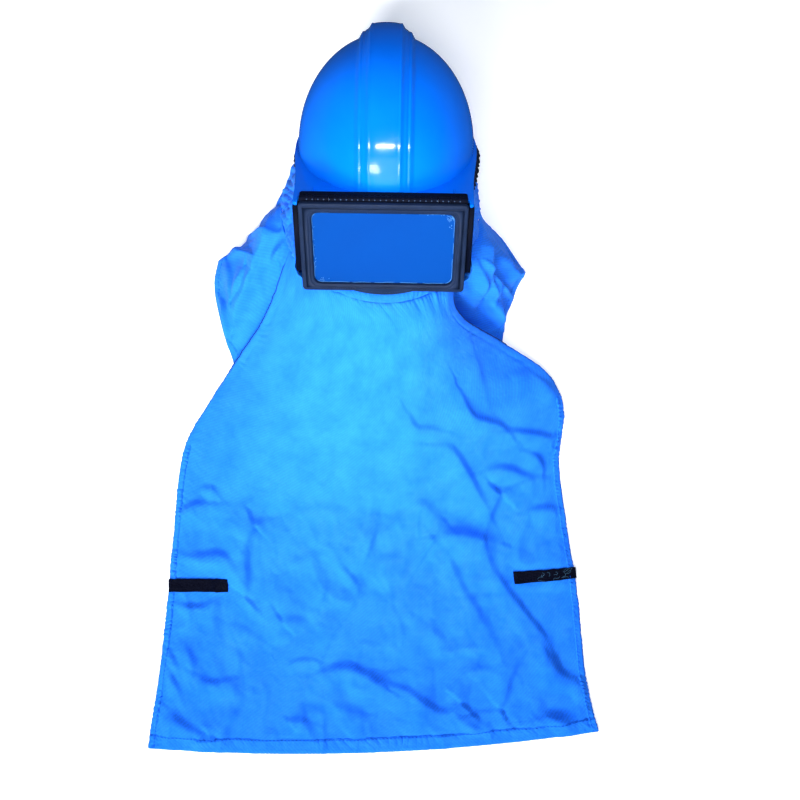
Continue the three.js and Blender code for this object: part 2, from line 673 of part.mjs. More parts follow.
function helmetPoint(x, y, z) {
  const mark = new THREE.Object3D();
  mark.position.set(x, y, z);
  const group = layBack(mark);
  group.updateMatrixWorld(true);
  return mark.getWorldPosition(new Vector3());
}

// Gathered tube of cloth from the window base and the binding down to the neck seam.
function collarTop(degrees) {
  const turn = Math.abs(degrees);
  return helmetPoint(
    -Math.sign(degrees) * SHELL_HALF_WIDTH * tabled(COLLAR_TOP, 'turn', 'side', turn),
    -SHELL_HALF_LENGTH * tabled(COLLAR_TOP, 'turn', 'ahead', turn),
    -BASE_HEIGHT * tabled(COLLAR_TOP, 'turn', 'drop', turn),
  );
}

function collar() {
  const rows = Array.from({ length: COLLAR_ROWS }, () => []);
  for (let c = 0; c < COLLAR_COLUMNS; c += 1) {
    const degrees = 180 - 360 * c / COLLAR_COLUMNS;
    const [high, low] = [collarTop(degrees), neckPoint(degrees)];
    const turn = THREE.MathUtils.degToRad(degrees);
    const out = new Vector3(-Math.sin(turn), -Math.cos(turn), 0);
    const tucked = CLOTH * Math.min(1, Math.abs(degrees) / PANEL_LAP_TURN);
    const retreat = (CLEARANCE * 2 + tucked) / high.distanceTo(low);
    for (let r = 0; r < COLLAR_ROWS; r += 1) {
      const share = (r / (COLLAR_ROWS - 1)) * (1 - retreat);
      const gather = COLLAR_GATHER * Math.sin(Math.PI * share) * (c % 2 ? 1 : -1);
      rows[r].push(high.clone().lerp(low, share).addScaledVector(out, gather));
    }
  }
  return sheet(rows, CLOTH, true);
}

// Height that the folds add at one place, as the highest of them.
function foldRise(place) {
  const x = place.x / HEM_WIDTH;
  const down = (NECK_FRONT - place.y) / CAPE_LENGTH;
  const aspect = HEM_WIDTH / CAPE_LENGTH;
  const rises = FOLDS.map((fold) => {
    const run = new THREE.Vector2((fold.toX - fold.fromX) * aspect, fold.toDown - fold.fromDown);
    const to = new THREE.Vector2((x - fold.fromX) * aspect, down - fold.fromDown);
    const share = THREE.MathUtils.clamp(to.dot(run) / run.lengthSq(), 0, 1);
    const away = to.distanceTo(run.clone().multiplyScalar(share)) / fold.wide;
    const swell = Math.sin(Math.PI * (0.5 + (share - 0.5) * FOLD_RUN));
    return FOLD_RISE * fold.rise * Math.exp(-away * away) * swell;
  });
  return Math.max(0, ...rises);
}

// One row of the front panel at a place across it, from -1 at the left edge to 1.
function acrossPanel(row, place) {
  const left = capePoint(row.leftX, row.leftDown, row.leftUp);
  const middle = capePoint(row.midX, row.midDown, row.midUp);
  const right = capePoint(row.rightX, row.rightDown, row.rightUp);
  const bend = 1 - place * place;
  const point = left.clone().multiplyScalar(place * (place - 1) / 2);
  point.addScaledVector(middle, bend).addScaledVector(right, place * (place + 1) / 2);
  const edges = THREE.MathUtils.lerp(left.z, right.z, (place + 1) / 2);
  const crown = middle.z - (left.z + right.z) / 2;
  point.z = edges + crown * (1 - Math.abs(place) ** PANEL_FULLNESS);
  return point;
}

function frontPanelGrid() {
  const rows = Array.from({ length: PANEL_ROWS + 1 }, () => []);
  for (let c = 0; c <= PANEL_COLUMNS; c += 1) {
    const place = (c / PANEL_COLUMNS) * 2 - 1;
    const seam = THREE.MathUtils.lerp(PANEL_SEAM.left, PANEL_SEAM.right, (place + 1) / 2);
    const down = [neckPoint(seam), ...PANEL_SECTIONS.map((row) => acrossPanel(row, place))];
    const curve = new THREE.CatmullRomCurve3(down, false, 'centripetal');
    for (let r = 0; r <= PANEL_ROWS; r += 1) {
      const share = r / PANEL_ROWS;
      const point = curve.getPoint(share);
      const gather = Math.sin(Math.PI * Math.min(1, share / PANEL_GATHER_SHARE));
      point.z += foldRise(point) + (c % 2 ? PANEL_GATHER * gather : 0);
      point.z = Math.max(point.z, LAID + LAY_AIR);
      rows[r].push(point);
    }
  }
  return rows;
}

// Height of a grid's surface over one place in the plan.
function heightOver(grid, place) {
  const flat = (point) => new Vector3(point.x, point.y, 0);
  const mark = flat(place);
  for (let r = 0; r < grid.length - 1; r += 1) {
    for (let c = 0; c < grid[0].length - 1; c += 1) {
      const [a, b] = [grid[r][c], grid[r + 1][c + 1]];
      for (const third of [grid[r][c + 1], grid[r + 1][c]]) {
        const share = THREE.Triangle.getBarycoord(mark, flat(a), flat(b), flat(third), new Vector3());
        if (share && Math.min(share.x, share.y, share.z) >= 0) {
          return a.z * share.x + b.z * share.y + third.z * share.z;
        }
      }
    }
  }
  return LAID + LAY_AIR;
}

// Tape that follows the front panel under it.
function tape(grid, row) {
  const middle = capePoint(row.x, row.down, 0);
  const slant = THREE.MathUtils.degToRad(row.slant);
  const lift = CLOTH / 2 + CLEARANCE + TAPE_THICK / 2;
  const rows = [0.5, -0.5].map((side) => (
    Array.from({ length: TAPE_STEPS + 1 }, (_, c) => {
      const along = (c / TAPE_STEPS - 0.5) * TAPE_LENGTH;
      const offset = new Vector3(along, side * TAPE_WIDTH, 0);
      const point = offset.applyAxisAngle(new Vector3(0, 0, 1), slant).add(middle);
      point.z = heightOver(grid, point) + lift;
      return point;
    })
  ));
  return sheet(rows, TAPE_THICK, false);
}

function shoulder(sections) {
  const rows = sections.map((row) => {
    const inner = row.turn === undefined
      ? capePoint(row.inX, row.inDown, row.inUp)
      : neckPoint(row.turn);
    return [inner, capePoint(row.outX, row.outDown, 0)];
  });
  const [inside, outside] = [0, 1].map((end) => (
    new THREE.CatmullRomCurve3(rows.map((row) => row[end]), false, 'centripetal')
  ));
  const grid = [];
  for (let r = 0; r <= SHOULDER_ROWS; r += 1) {
    const [from, to] = [inside.getPoint(r / SHOULDER_ROWS), outside.getPoint(r / SHOULDER_ROWS)];
    grid.push(Array.from({ length: SHOULDER_COLUMNS + 1 }, (_, c) => {
      const point = from.clone().lerp(to, c / SHOULDER_COLUMNS);
      point.z = Math.max(point.z, LAID);
      return point;
    }));
  }
  return sheet(grid, CLOTH, false);
}

// Flat back panel under everything, a little inside the outline of what lies on it.
function backPanel() {
  const below = PANEL_SECTIONS.slice(4);
  const points = [
    ...SHOULDER_LEFT.slice(1).map((row) => capePoint(row.outX, row.outDown, 0)),
    ...below.map((row) => capePoint(row.leftX, row.leftDown, 0)),
    capePoint(below.at(-1).midX, below.at(-1).midDown, 0),
    ...below.map((row) => capePoint(row.rightX, row.rightDown, 0)).reverse(),
    ...SHOULDER_RIGHT.slice(1).map((row) => capePoint(row.outX, row.outDown, 0)).reverse(),
  ];
  const middle = NECK_FRONT - CAPE_LENGTH / 2;
  const inset = points.map((point) => new THREE.Vector2(
    point.x - Math.sign(point.x) * BACK_INSET,
    point.y + (point.y < middle ? BACK_INSET : -BACK_INSET) / 2,
  ));
  return new THREE.ExtrudeGeometry(new THREE.Shape(inset), { depth: CLOTH, bevelEnabled: false });
}

function piece(name, geometry, material) {
  const mesh = new THREE.Mesh(geometry, material);
  mesh.name = name;
  return mesh;
}

const helmet = new THREE.Group();
helmet.add(
  piece('helmet_shell', helmetShell(), MATERIALS.shell),
  piece('visor_base', visorBase(), MATERIALS.rubber),
  piece('hinge_band', hingeBand(), MATERIALS.rubber),
  piece('hinge_pin', rodAlongX(PIN_RADIUS, PIN_LENGTH, 0), MATERIALS.steel),
  piece('window_frame', windowFrame(), MATERIALS.rubber),
  piece('window_pane', windowPane(), MATERIALS.pane),
  piece('rim_binding', rimBinding(), MATERIALS.trim),
);

const panelGrid = frontPanelGrid();
const cape = new THREE.Group();
cape.add(
  piece('neck_collar', collar(), MATERIALS.cloth),
  piece('front_panel', sheet(panelGrid, CLOTH, false), MATERIALS.cloth),
  piece('shoulder_left', shoulder(SHOULDER_LEFT), MATERIALS.cloth),
  piece('shoulder_right', shoulder(SHOULDER_RIGHT), MATERIALS.cloth),
  piece('back_panel', backPanel(), MATERIALS.cloth),
);

TAPES.forEach((row) => cape.add(piece(row.name, tape(panelGrid, row), MATERIALS.trim)));

const hood = new THREE.Group();
hood.add(layBack(helmet), cape);

export default hood;
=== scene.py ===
"""Sandblasting hood laid on its back: its looks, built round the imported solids."""

import math

import bmesh
import bpy
import numpy as np
from mathutils import Matrix, Vector
from mathutils.kdtree import KDTree


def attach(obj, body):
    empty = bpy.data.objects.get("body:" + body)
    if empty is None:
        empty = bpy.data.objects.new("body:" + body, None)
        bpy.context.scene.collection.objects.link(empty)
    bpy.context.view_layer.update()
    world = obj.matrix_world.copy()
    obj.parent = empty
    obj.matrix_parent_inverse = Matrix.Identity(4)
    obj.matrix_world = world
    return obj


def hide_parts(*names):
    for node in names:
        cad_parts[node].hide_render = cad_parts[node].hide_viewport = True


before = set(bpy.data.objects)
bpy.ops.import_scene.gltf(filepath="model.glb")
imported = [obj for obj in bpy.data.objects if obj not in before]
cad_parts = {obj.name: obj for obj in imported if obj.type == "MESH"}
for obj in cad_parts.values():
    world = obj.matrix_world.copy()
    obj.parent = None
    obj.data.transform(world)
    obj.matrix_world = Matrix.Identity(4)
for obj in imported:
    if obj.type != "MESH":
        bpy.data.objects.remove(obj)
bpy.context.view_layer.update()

# Sizes of the hood in millimetres: those of its source, and those of the looks alone.
MM = 0.001
CLOTH = 1.2
BACK_CLOTH = 1.4
BACK_UP = 0.85
BACK_INSET = 4.5
HEM_BELLY = 10.0
HEM_CLOTH = 0.9
FRONT_HEM = 21.0
SIDE_HEM = 9.0
ARMHOLE_HEM = 11.0
SHOULDER_STITCHES = 10.2
# Radius and offsets of the dark tube of painted shadow under the panel's edges.
SHADOW_LINE_RADIUS = 0.95
SHADOW_LINE_DOWN = 0.4
SHADOW_LINE_OUT = 0.5
TAPE_THICK = 1.4
BINDING_THICK = 1.3
BINDING_INSET = 2.6
BINDING_TURN = 101.0
BINDING_HEIGHT = 12.0
BINDING_LOWER_BACK = 6.0
BINDING_FLARE_RIGHT = 7.4
BINDING_FLARE_LEFT = 4.6
BINDING_RUFFLES = 62
BINDING_RUFFLE_RISE = 1.15
COLLAR_PAST_SEAM = 1.6
COLLAR_UNDER_RIM = 8.5
COLLAR_TUCK_RISE = 1.7
COLLAR_FOLD_RISE = 2.3
COLLAR_SLANT_RISE = 2.8
COLLAR_DRAWN_IN = 4.0
SHOULDER_CREASE_GAIN = 2.1
TAPE_UP = 1.7
LINT_UP = 0.95
LINT_RADIUS = 0.16
LINT_COUNT = 12
SHELL_HALF_WIDTH = 111.0
SHELL_HALF_LENGTH = 137.0
SHELL_HEIGHT = 134.0
SHELL_WALL = 3.0
RIDGE_WIDTH = 68.0
RIDGE_RISE = 13.0
FLANGE_REACH = 4.0
FLANGE_LOW = -2.0
FLANGE_TOP = 2.5
RIM_BEVEL = 1.4
RIM_HOLE_GAP = 1.5
RIM_NUB = (1.6, 14, 4.4)
RIM_NUB_AT = (82.5, -132.5, 3.6)
PEAK_FRONT = 146.0
WING_FRONT = 157.0
WING_INNER = 99.5
BASE_WIDTH = 195.0
BASE_HEIGHT = 110.0
BASE_DEPTH = 33.0
BASE_FRONT = 157.7
BASE_WALL = 7.0
BASE_TOP = -2.3
BASE_CORNER = 6.0
BASE_BEVEL = 1.2
CHEEK_THICK = 7.5
CHEEK_HEIGHT = 86.0
CHEEK_LENGTH_TOP = 62.0
CHEEK_LENGTH_LOW = 18.0
CHEEK_LAP = 0.4
CHEEK_BEVEL = 1.6
BAND_WIDTH = 194.0
BAND_LOW = 2.8
BAND_THICK = 5.7
BAND_REAR = 140.5
BAND_FRONT = 150.0
BAND_CORNER = 3.5
BAND_BEVEL = 1.2
BAND_RIBS = 28
RIB_STEP = 6.5
RIB_SIZE = (2.2, 5.4, 1.6)
RIB_Y = -153.4
PIP_SIZE = (1.5, 1.3, 1.3)
PIP_Y = -157.4
PIP_Z = 6.5
HINGE_Y = -153.6
HINGE_Z = 5.0
KNUCKLE_RADIUS = 4.0
KNUCKLE_BORE = 2.1
KNUCKLE_EDGE = 0.5
FRAME_KNUCKLE_AT = 70.0
FRAME_KNUCKLE_LENGTH = 14.0
FRAME_REAR = 158.0
FRAME_WIDTH = 195.5
FRAME_HEIGHT = 117.0
FRAME_DEPTH = 8.0
FRAME_TOP = 5.0
FRAME_TOP_BAR = 12.0
FRAME_LOW_BAR = 9.5
FRAME_SIDE_BAR = 14.5
FRAME_CORNER = 5.0
FRAME_BEVEL = 1.9
FRAME_BEAD_RISE = 0.8
FRAME_BEAD_DEPTH = 3.0
FRAME_BEAD_BEVEL = 1.1
PANE_THICK = 2.0
PANE_LAP = 3.6
PANE_UP = 0.4
FILM_EDGE_RADIUS = 0.34
FILM_EDGE_UP = 1.0
TAB_WIDTH = 72.0
TAB_DROP = 5.5
HEM_WIDTH = 628.0
CAPE_LENGTH = 613.0
NECK_FRONT = 120.5
NECK_BACK = 388.0
NECK_WIDTH = 260.0
NECK_RISE = 147.0
NECK_REST = 6.0
NECK_SLIP = 8.0
PANEL_FULLNESS = 2.4
LAID = 2.7
PANEL_FLOOR = 3.1

# Rows and columns of the grids, seeds of the noises and welding distances in metres.
SHELL_GRID = (181, 241)
BINDING_GRID = (9, 561)
PANEL_GRID = (231, 201)
COLLAR_GRID = (37, 640)
SHOULDER_GRID = (260, 90)
BACK_GRID = (150, 90)
TAPE_GRID = (17, 77)
PANEL_SEEDS = (3, 8, 15)
SHOULDER_SEEDS = (21, 34)
COLLAR_SEEDS = (41, 43)
BINDING_SEED = 11
FILM_SEED = 5
FILM_EDGE_SEED = 61
HEM_SEEDS = (71, 72, 73)
TAPE_SEEDS = (81, 82)
LINT_SEED = 91
SHELL_WELD = 0.00002
MOULD_WELD = 0.00001
UP = np.array([0, 0, 1.0])

# Camera in metres over the hood as it lies, and its frame of 800 by 800.
CAMERA_X = 0.0175
CAMERA_HEIGHT = 1.3
CAMERA_LENS = 41.76
VIEW_SIZE = 400.0
VIEW_SCALE = 928.0

# Share of the way over the crown from front to back, then the ridge's share of its full rise.
RIDGE_ALONG = np.array([
    [0, 0.2], [0.03, 0.3], [0.0625, 0.36], [0.2, 0.45], [0.5, 0.95], [0.75, 1.0], [1.0, 0.5],
])
# Turn in degrees, then side, ahead and drop as shares of the shell's and the base's size.
COLLAR_TOP = np.array([
    [0, 0, 1.02, 1.038], [24, 0.56, 1.02, 1.038], [40, 0.85, 1.02, 1.038],
    [45, 0.93, 1.02, 0.96], [50, 0.968, 1.03, 0.85], [56, 0.965, 1.03, 0.75],
    [62, 0.96, 0.95, 0.62], [70, 0.96, 0.82, 0.4], [77, 0.963, 0.71, 0.2],
    [84, 1, 0.62, 0.15], [96, 1.012, 0.29, 0.142], [110, 1.01, -0.07, 0.138],
    [135, 0.83, -0.58, 0.112], [160, 0.415, -0.925, 0.093], [180, 0, -1.008, 0.088],
])

# Cross sections from the neck down: x, down and up of the left edge, the middle and the right edge.
PANEL_SECTIONS = np.array([
    [[-0.244, -0.011, 0.48], [0, 0.048, 0.895], [0.138, -0.005, 0.755]],
    [[-0.275, 0.038, 0.33], [-0.003, 0.096, 0.757], [0.158, 0.022, 0.62]],
    [[-0.312, 0.084, 0.19], [-0.005, 0.164, 0.592], [0.194, 0.041, 0.41]],
    [[-0.341, 0.121, 0.07], [-0.01, 0.235, 0.44], [0.253, 0.068, 0.15]],
    [[-0.392, 0.196, 0.02], [-0.015, 0.31, 0.294], [0.361, 0.143, 0.03]],
    [[-0.444, 0.287, 0.005], [-0.022, 0.398, 0.15], [0.39, 0.223, 0.012]],
    [[-0.464, 0.378, 0.003], [-0.028, 0.491, 0.05], [0.379, 0.332, 0.006]],
    [[-0.473, 0.492, 0], [-0.032, 0.594, 0.012], [0.395, 0.469, 0.003]],
    [[-0.488, 0.652, 0], [-0.034, 0.743, 0.005], [0.421, 0.64, 0]],
    [[-0.508, 0.834, 0], [-0.034, 0.891, 0.003], [0.441, 0.834, 0]],
    [[-0.532, 0.989, 0], [-0.034, 0.999, 0], [0.468, 0.951, 0]],
])
PANEL_SEAM = (64.0, -44.0)

# Turn on the neck seam, then the outline's x and down.
SHOULDER_LEFT_SEAM = np.array([
    [178.5, -0.004, -0.44], [150, -0.119, -0.41], [125, -0.2, -0.345],
    [105, -0.228, -0.285], [90, -0.243, -0.23], [81, -0.317, -0.157], [75, -0.376, -0.12],
])
# Inner x, down and up under the front panel, then the outline's x and down.
SHOULDER_LEFT_FREE = np.array([
    [-0.193, -0.12, 0.69, -0.384, -0.075], [-0.22, -0.006, 0.49, -0.381, -0.032],
    [-0.252, 0.042, 0.35, -0.373, 0.008], [-0.292, 0.088, 0.19, -0.36, 0.055],
    [-0.323, 0.121, 0.05, -0.344, 0.116],
])
SHOULDER_RIGHT_SEAM = np.array([
    [-178.5, 0.004, -0.44], [-150, 0.119, -0.41], [-125, 0.188, -0.345],
    [-105, 0.2, -0.285], [-90, 0.206, -0.22], [-78, 0.255, -0.17],
    [-66, 0.306, -0.093], [-55, 0.288, -0.06],
])
SHOULDER_RIGHT_FREE = np.array([
    [0.128, -0.06, 0.84, 0.274, -0.02], [0.118, 0.008, 0.75, 0.265, 0],
    [0.138, 0.034, 0.61, 0.26, 0.02], [0.172, 0.056, 0.4, 0.258, 0.04],
    [0.234, 0.077, 0.13, 0.256, 0.062],
])


def tabled(table, column, place):
    return np.interp(place, table[:, 0], table[:, column])


def smooth(low, high, value):
    share = np.clip((value - low) / (high - low), 0, 1)
    return share * share * (3 - 2 * share)


def laid(points):
    """Points of the upright shell, in millimetres, as it lies."""
    place = Matrix.Translation((0, 324, 116))
    place = place @ Matrix.Rotation(math.radians(-0.9), 4, "Z")
    place = place @ Matrix.Rotation(math.radians(-50), 4, "X")
    turn = np.array(place)
    return np.asarray(points) @ turn[:3, :3].T + turn[:3, 3]


def cape_point(x, down, up):
    """Place on the cape from shares of the hem's width, the length and the rise."""
    x, down, up = np.broadcast_arrays(x, down, up)
    return np.stack([
        x * HEM_WIDTH, NECK_FRONT - down * CAPE_LENGTH, LAID + up * (NECK_RISE - LAID),
    ], axis=-1)


def neck_point(degrees):
    """Place on the neck seam at a turn from its front."""
    turn = np.radians(degrees)
    back = (1 - np.cos(turn)) / 2
    return np.stack([
        -np.sin(turn) * NECK_WIDTH / 2 - NECK_SLIP * np.sin(turn) ** 2,
        NECK_FRONT + (NECK_BACK - NECK_FRONT) * back,
        NECK_RISE + (NECK_REST - NECK_RISE) * back,
    ], axis=-1)


def collar_top(degrees):
    """Place of the collar's upper edge at a turn from its front."""
    turn = np.abs(degrees)
    return laid(np.stack([
        -np.sign(degrees) * SHELL_HALF_WIDTH * tabled(COLLAR_TOP, 1, turn),
        -SHELL_HALF_LENGTH * tabled(COLLAR_TOP, 2, turn),
        -BASE_HEIGHT * tabled(COLLAR_TOP, 3, turn),
    ], axis=-1))


def through(points, shares):
    """Centripetal curve through points (the first axis), at shares of the way."""
    points = np.asarray(points, float)
    first = 2 * points[:1] - points[1:2]
    last = 2 * points[-1:] - points[-2:-1]
    padded = np.concatenate([first, points, last])
    spans = len(points) - 1
    place = np.asarray(shares) * spans
    index = np.clip(np.floor(place).astype(int), 0, spans - 1)
    weight = (place - index).reshape([-1] + [1] * (points.ndim - 1))
    p0, p1, p2, p3 = (padded[index + k] for k in range(4))

    def step(a, b):
        return np.maximum(np.linalg.norm(b - a, axis=-1, keepdims=True), 1e-6) ** 0.5

    d0, d1, d2 = step(p0, p1), step(p1, p2), step(p2, p3)
    t1 = ((p1 - p0) / d0 - (p2 - p0) / (d0 + d1) + (p2 - p1) / d1) * d1
    t2 = ((p2 - p1) / d1 - (p3 - p1) / (d1 + d2) + (p3 - p2) / d2) * d1
    c2 = -3 * p1 + 3 * p2 - 2 * t1 - t2
    c3 = 2 * p1 - 2 * p2 + t1 + t2
    return p1 + t1 * weight + c2 * weight ** 2 + c3 * weight ** 3


def reached(steps):
    """Way run at each point of a line, from the lengths of its steps."""
    return np.concatenate([[0], np.cumsum(steps)])


def even_shares(curve_at, count, fine=600):
    """Shares at which a family of curves moves on by even lengths."""
    shares = np.linspace(0, 1, fine)
    points = curve_at(shares)
    steps = np.linalg.norm(np.diff(points, axis=0), axis=-1)
    while steps.ndim > 1:
        steps = steps.mean(axis=-1)
    run = reached(steps)
    return np.interp(np.linspace(0, run[-1], count), run, shares)


def normals_of(grid, ring=False):
    if ring:
        across = np.roll(grid, -1, axis=1) - np.roll(grid, 1, axis=1)
    else:
        across = np.gradient(grid, axis=1)
    along = np.gradient(grid, axis=0)
    normal = np.cross(across, along)
    return normal / np.maximum(np.linalg.norm(normal, axis=-1, keepdims=True), 1e-9)


def raised(grid, height):
    """Grid moved up along its normals."""
    normal = normals_of(grid)
    return grid + normal * np.sign(normal[..., 2:3]) * height[..., None]


def lengths_of(grid):
    """Run along rows and down columns of a grid, in metres, for the weave."""
    across = np.linalg.norm(np.diff(grid, axis=1), axis=-1).mean(axis=0)
    along = np.linalg.norm(np.diff(grid, axis=0), axis=-1).mean(axis=1)
    return np.meshgrid(reached(across) * MM, reached(along) * MM)


class Noise:
    """Smooth seeded noise in two directions, from a lattice of values."""

    def __init__(self, seed):
        self.values = np.random.default_rng(seed).uniform(-1, 1, (256, 256))

    def __call__(self, x, y):
        x0, y0 = np.floor(x).astype(int), np.floor(y).astype(int)
        fx, fy = x - x0, y - y0
        fx = fx * fx * fx * (fx * (fx * 6 - 15) + 10)
        fy = fy * fy * fy * (fy * (fy * 6 - 15) + 10)
        v = self.values
        a = v[y0 % 256, x0 % 256] * (1 - fx) + v[y0 % 256, (x0 + 1) % 256] * fx
        b = v[(y0 + 1) % 256, x0 % 256] * (1 - fx) + v[(y0 + 1) % 256, (x0 + 1) % 256] * fx
        return a * (1 - fy) + b * fy


def placed(name, data):
    """New object in the scene."""
    holder = bpy.data.objects.new(name, data)
    bpy.context.scene.collection.objects.link(holder)
    return holder


def make_mesh(name, points, faces, uv=None):
    mesh = bpy.data.meshes.new(name)
    mesh.from_pydata((np.asarray(points) * MM).tolist(), [], faces)
    mesh.validate()
    mesh.update()
    if uv is not None:
        layer = mesh.uv_layers.new(name="cloth")
        index = np.zeros(len(mesh.loops), int)
        mesh.loops.foreach_get("vertex_index", index)
        layer.data.foreach_set("uv", np.asarray(uv, np.float32)[index].ravel())
    mesh.polygons.foreach_set("use_smooth", [True] * len(mesh.polygons))
    return placed(name, mesh)


def grid_faces(rows, columns, ring, flip, start=0):
    r = np.arange(rows - 1)[:, None]
    c = np.arange(columns if ring else columns - 1)[None, :]
    a = start + r * columns + c
    b = start + r * columns + (c + 1) % columns
    d = start + (r + 1) * columns + c
    e = start + (r + 1) * columns + (c + 1) % columns
    quads = np.stack([a, d, e, b] if flip else [a, b, e, d], axis=-1)
    return quads.reshape(-1, 4).tolist()


def sheet_rim(ids, count, closed, flip):
    """Faces along an edge between the two sides of a sheet."""
    following = ids[1:] + ids[:1] if closed else ids[1:]
    faces = [[a, a + count, b + count, b] for a, b in zip(ids, following)]
    return [face[::-1] for face in faces] if flip else faces


def two_sided(rows, columns, ring=False):
    """Faces of the two sides of a sheet and of its upper and lower edges."""
    count = rows * columns
    faces = grid_faces(rows, columns, ring, False)
    faces += grid_faces(rows, columns, ring, True, count)
    faces += sheet_rim(list(range(columns)), count, ring, False)
    faces += sheet_rim(list(range(count - columns, count)), count, ring, True)
    return faces


def sheet_mesh(name, grid, thick, ring=False):
    """Closed sheet of even thickness round a grid."""
    rows, columns = grid.shape[:2]
    half = normals_of(grid, ring) * thick / 2
    points = np.concatenate([(grid + half).reshape(-1, 3), (grid - half).reshape(-1, 3)])
    faces = two_sided(rows, columns, ring)
    if not ring:
        count = rows * columns
        faces += sheet_rim(list(range(0, count, columns)), count, False, True)
        faces += sheet_rim(list(range(columns - 1, count, columns)), count, False, False)
    flat = np.stack([run.ravel() for run in lengths_of(grid)], axis=-1)
    return make_mesh(name, points, faces, np.concatenate([flat, flat]))


def clean(piece, distance):
    work = bmesh.new()
    work.from_mesh(piece.data)
    bmesh.ops.remove_doubles(work, verts=work.verts, dist=distance)
    bmesh.ops.dissolve_degenerate(work, edges=work.edges, dist=distance / 4)
    bmesh.ops.recalc_face_normals(work, faces=work.faces)
    work.to_mesh(piece.data)
    work.free()
    piece.data.update()


def joined_mesh(name, parts, weld=None):
    """One mesh from several lots of points and faces, its close points welded if asked."""
    points, faces, start = [], [], 0
    for part_points, part_faces in parts:
        points.append(np.asarray(part_points, float))
        faces += [[i + start for i in face] for face in part_faces]
        start += len(part_points)
    piece = make_mesh(name, np.concatenate(points), faces)
    if weld is not None:
        clean(piece, weld)
    return piece


def panel_base(rows, columns):
    """The front panel without folds: grid of points and places across it."""
    across = np.linspace(-1, 1, columns)
    seam = np.interp(across, [-1, 1], PANEL_SEAM)
    sections = [neck_point(seam)]
    for section in PANEL_SECTIONS:
        left, middle, right = (cape_point(*row) for row in section)
        place = across[:, None]
        point = left * place * (place - 1) / 2 + middle * (1 - place ** 2)
        point = point + right * place * (place + 1) / 2
        edges = left[2] + (right[2] - left[2]) * (across + 1) / 2
        crown = middle[2] - (left[2] + right[2]) / 2
        point[:, 2] = edges + crown * (1 - np.abs(across) ** PANEL_FULLNESS)
        sections.append(point)
    sections = np.stack(sections)
    shares = even_shares(lambda s: through(sections, s), rows)
    return through(sections, shares), across


LIGHT_SIDE = np.array([-0.7, 0.71])
CREASE_GAIN = 2.15
CREASE_SHARP = 0.72

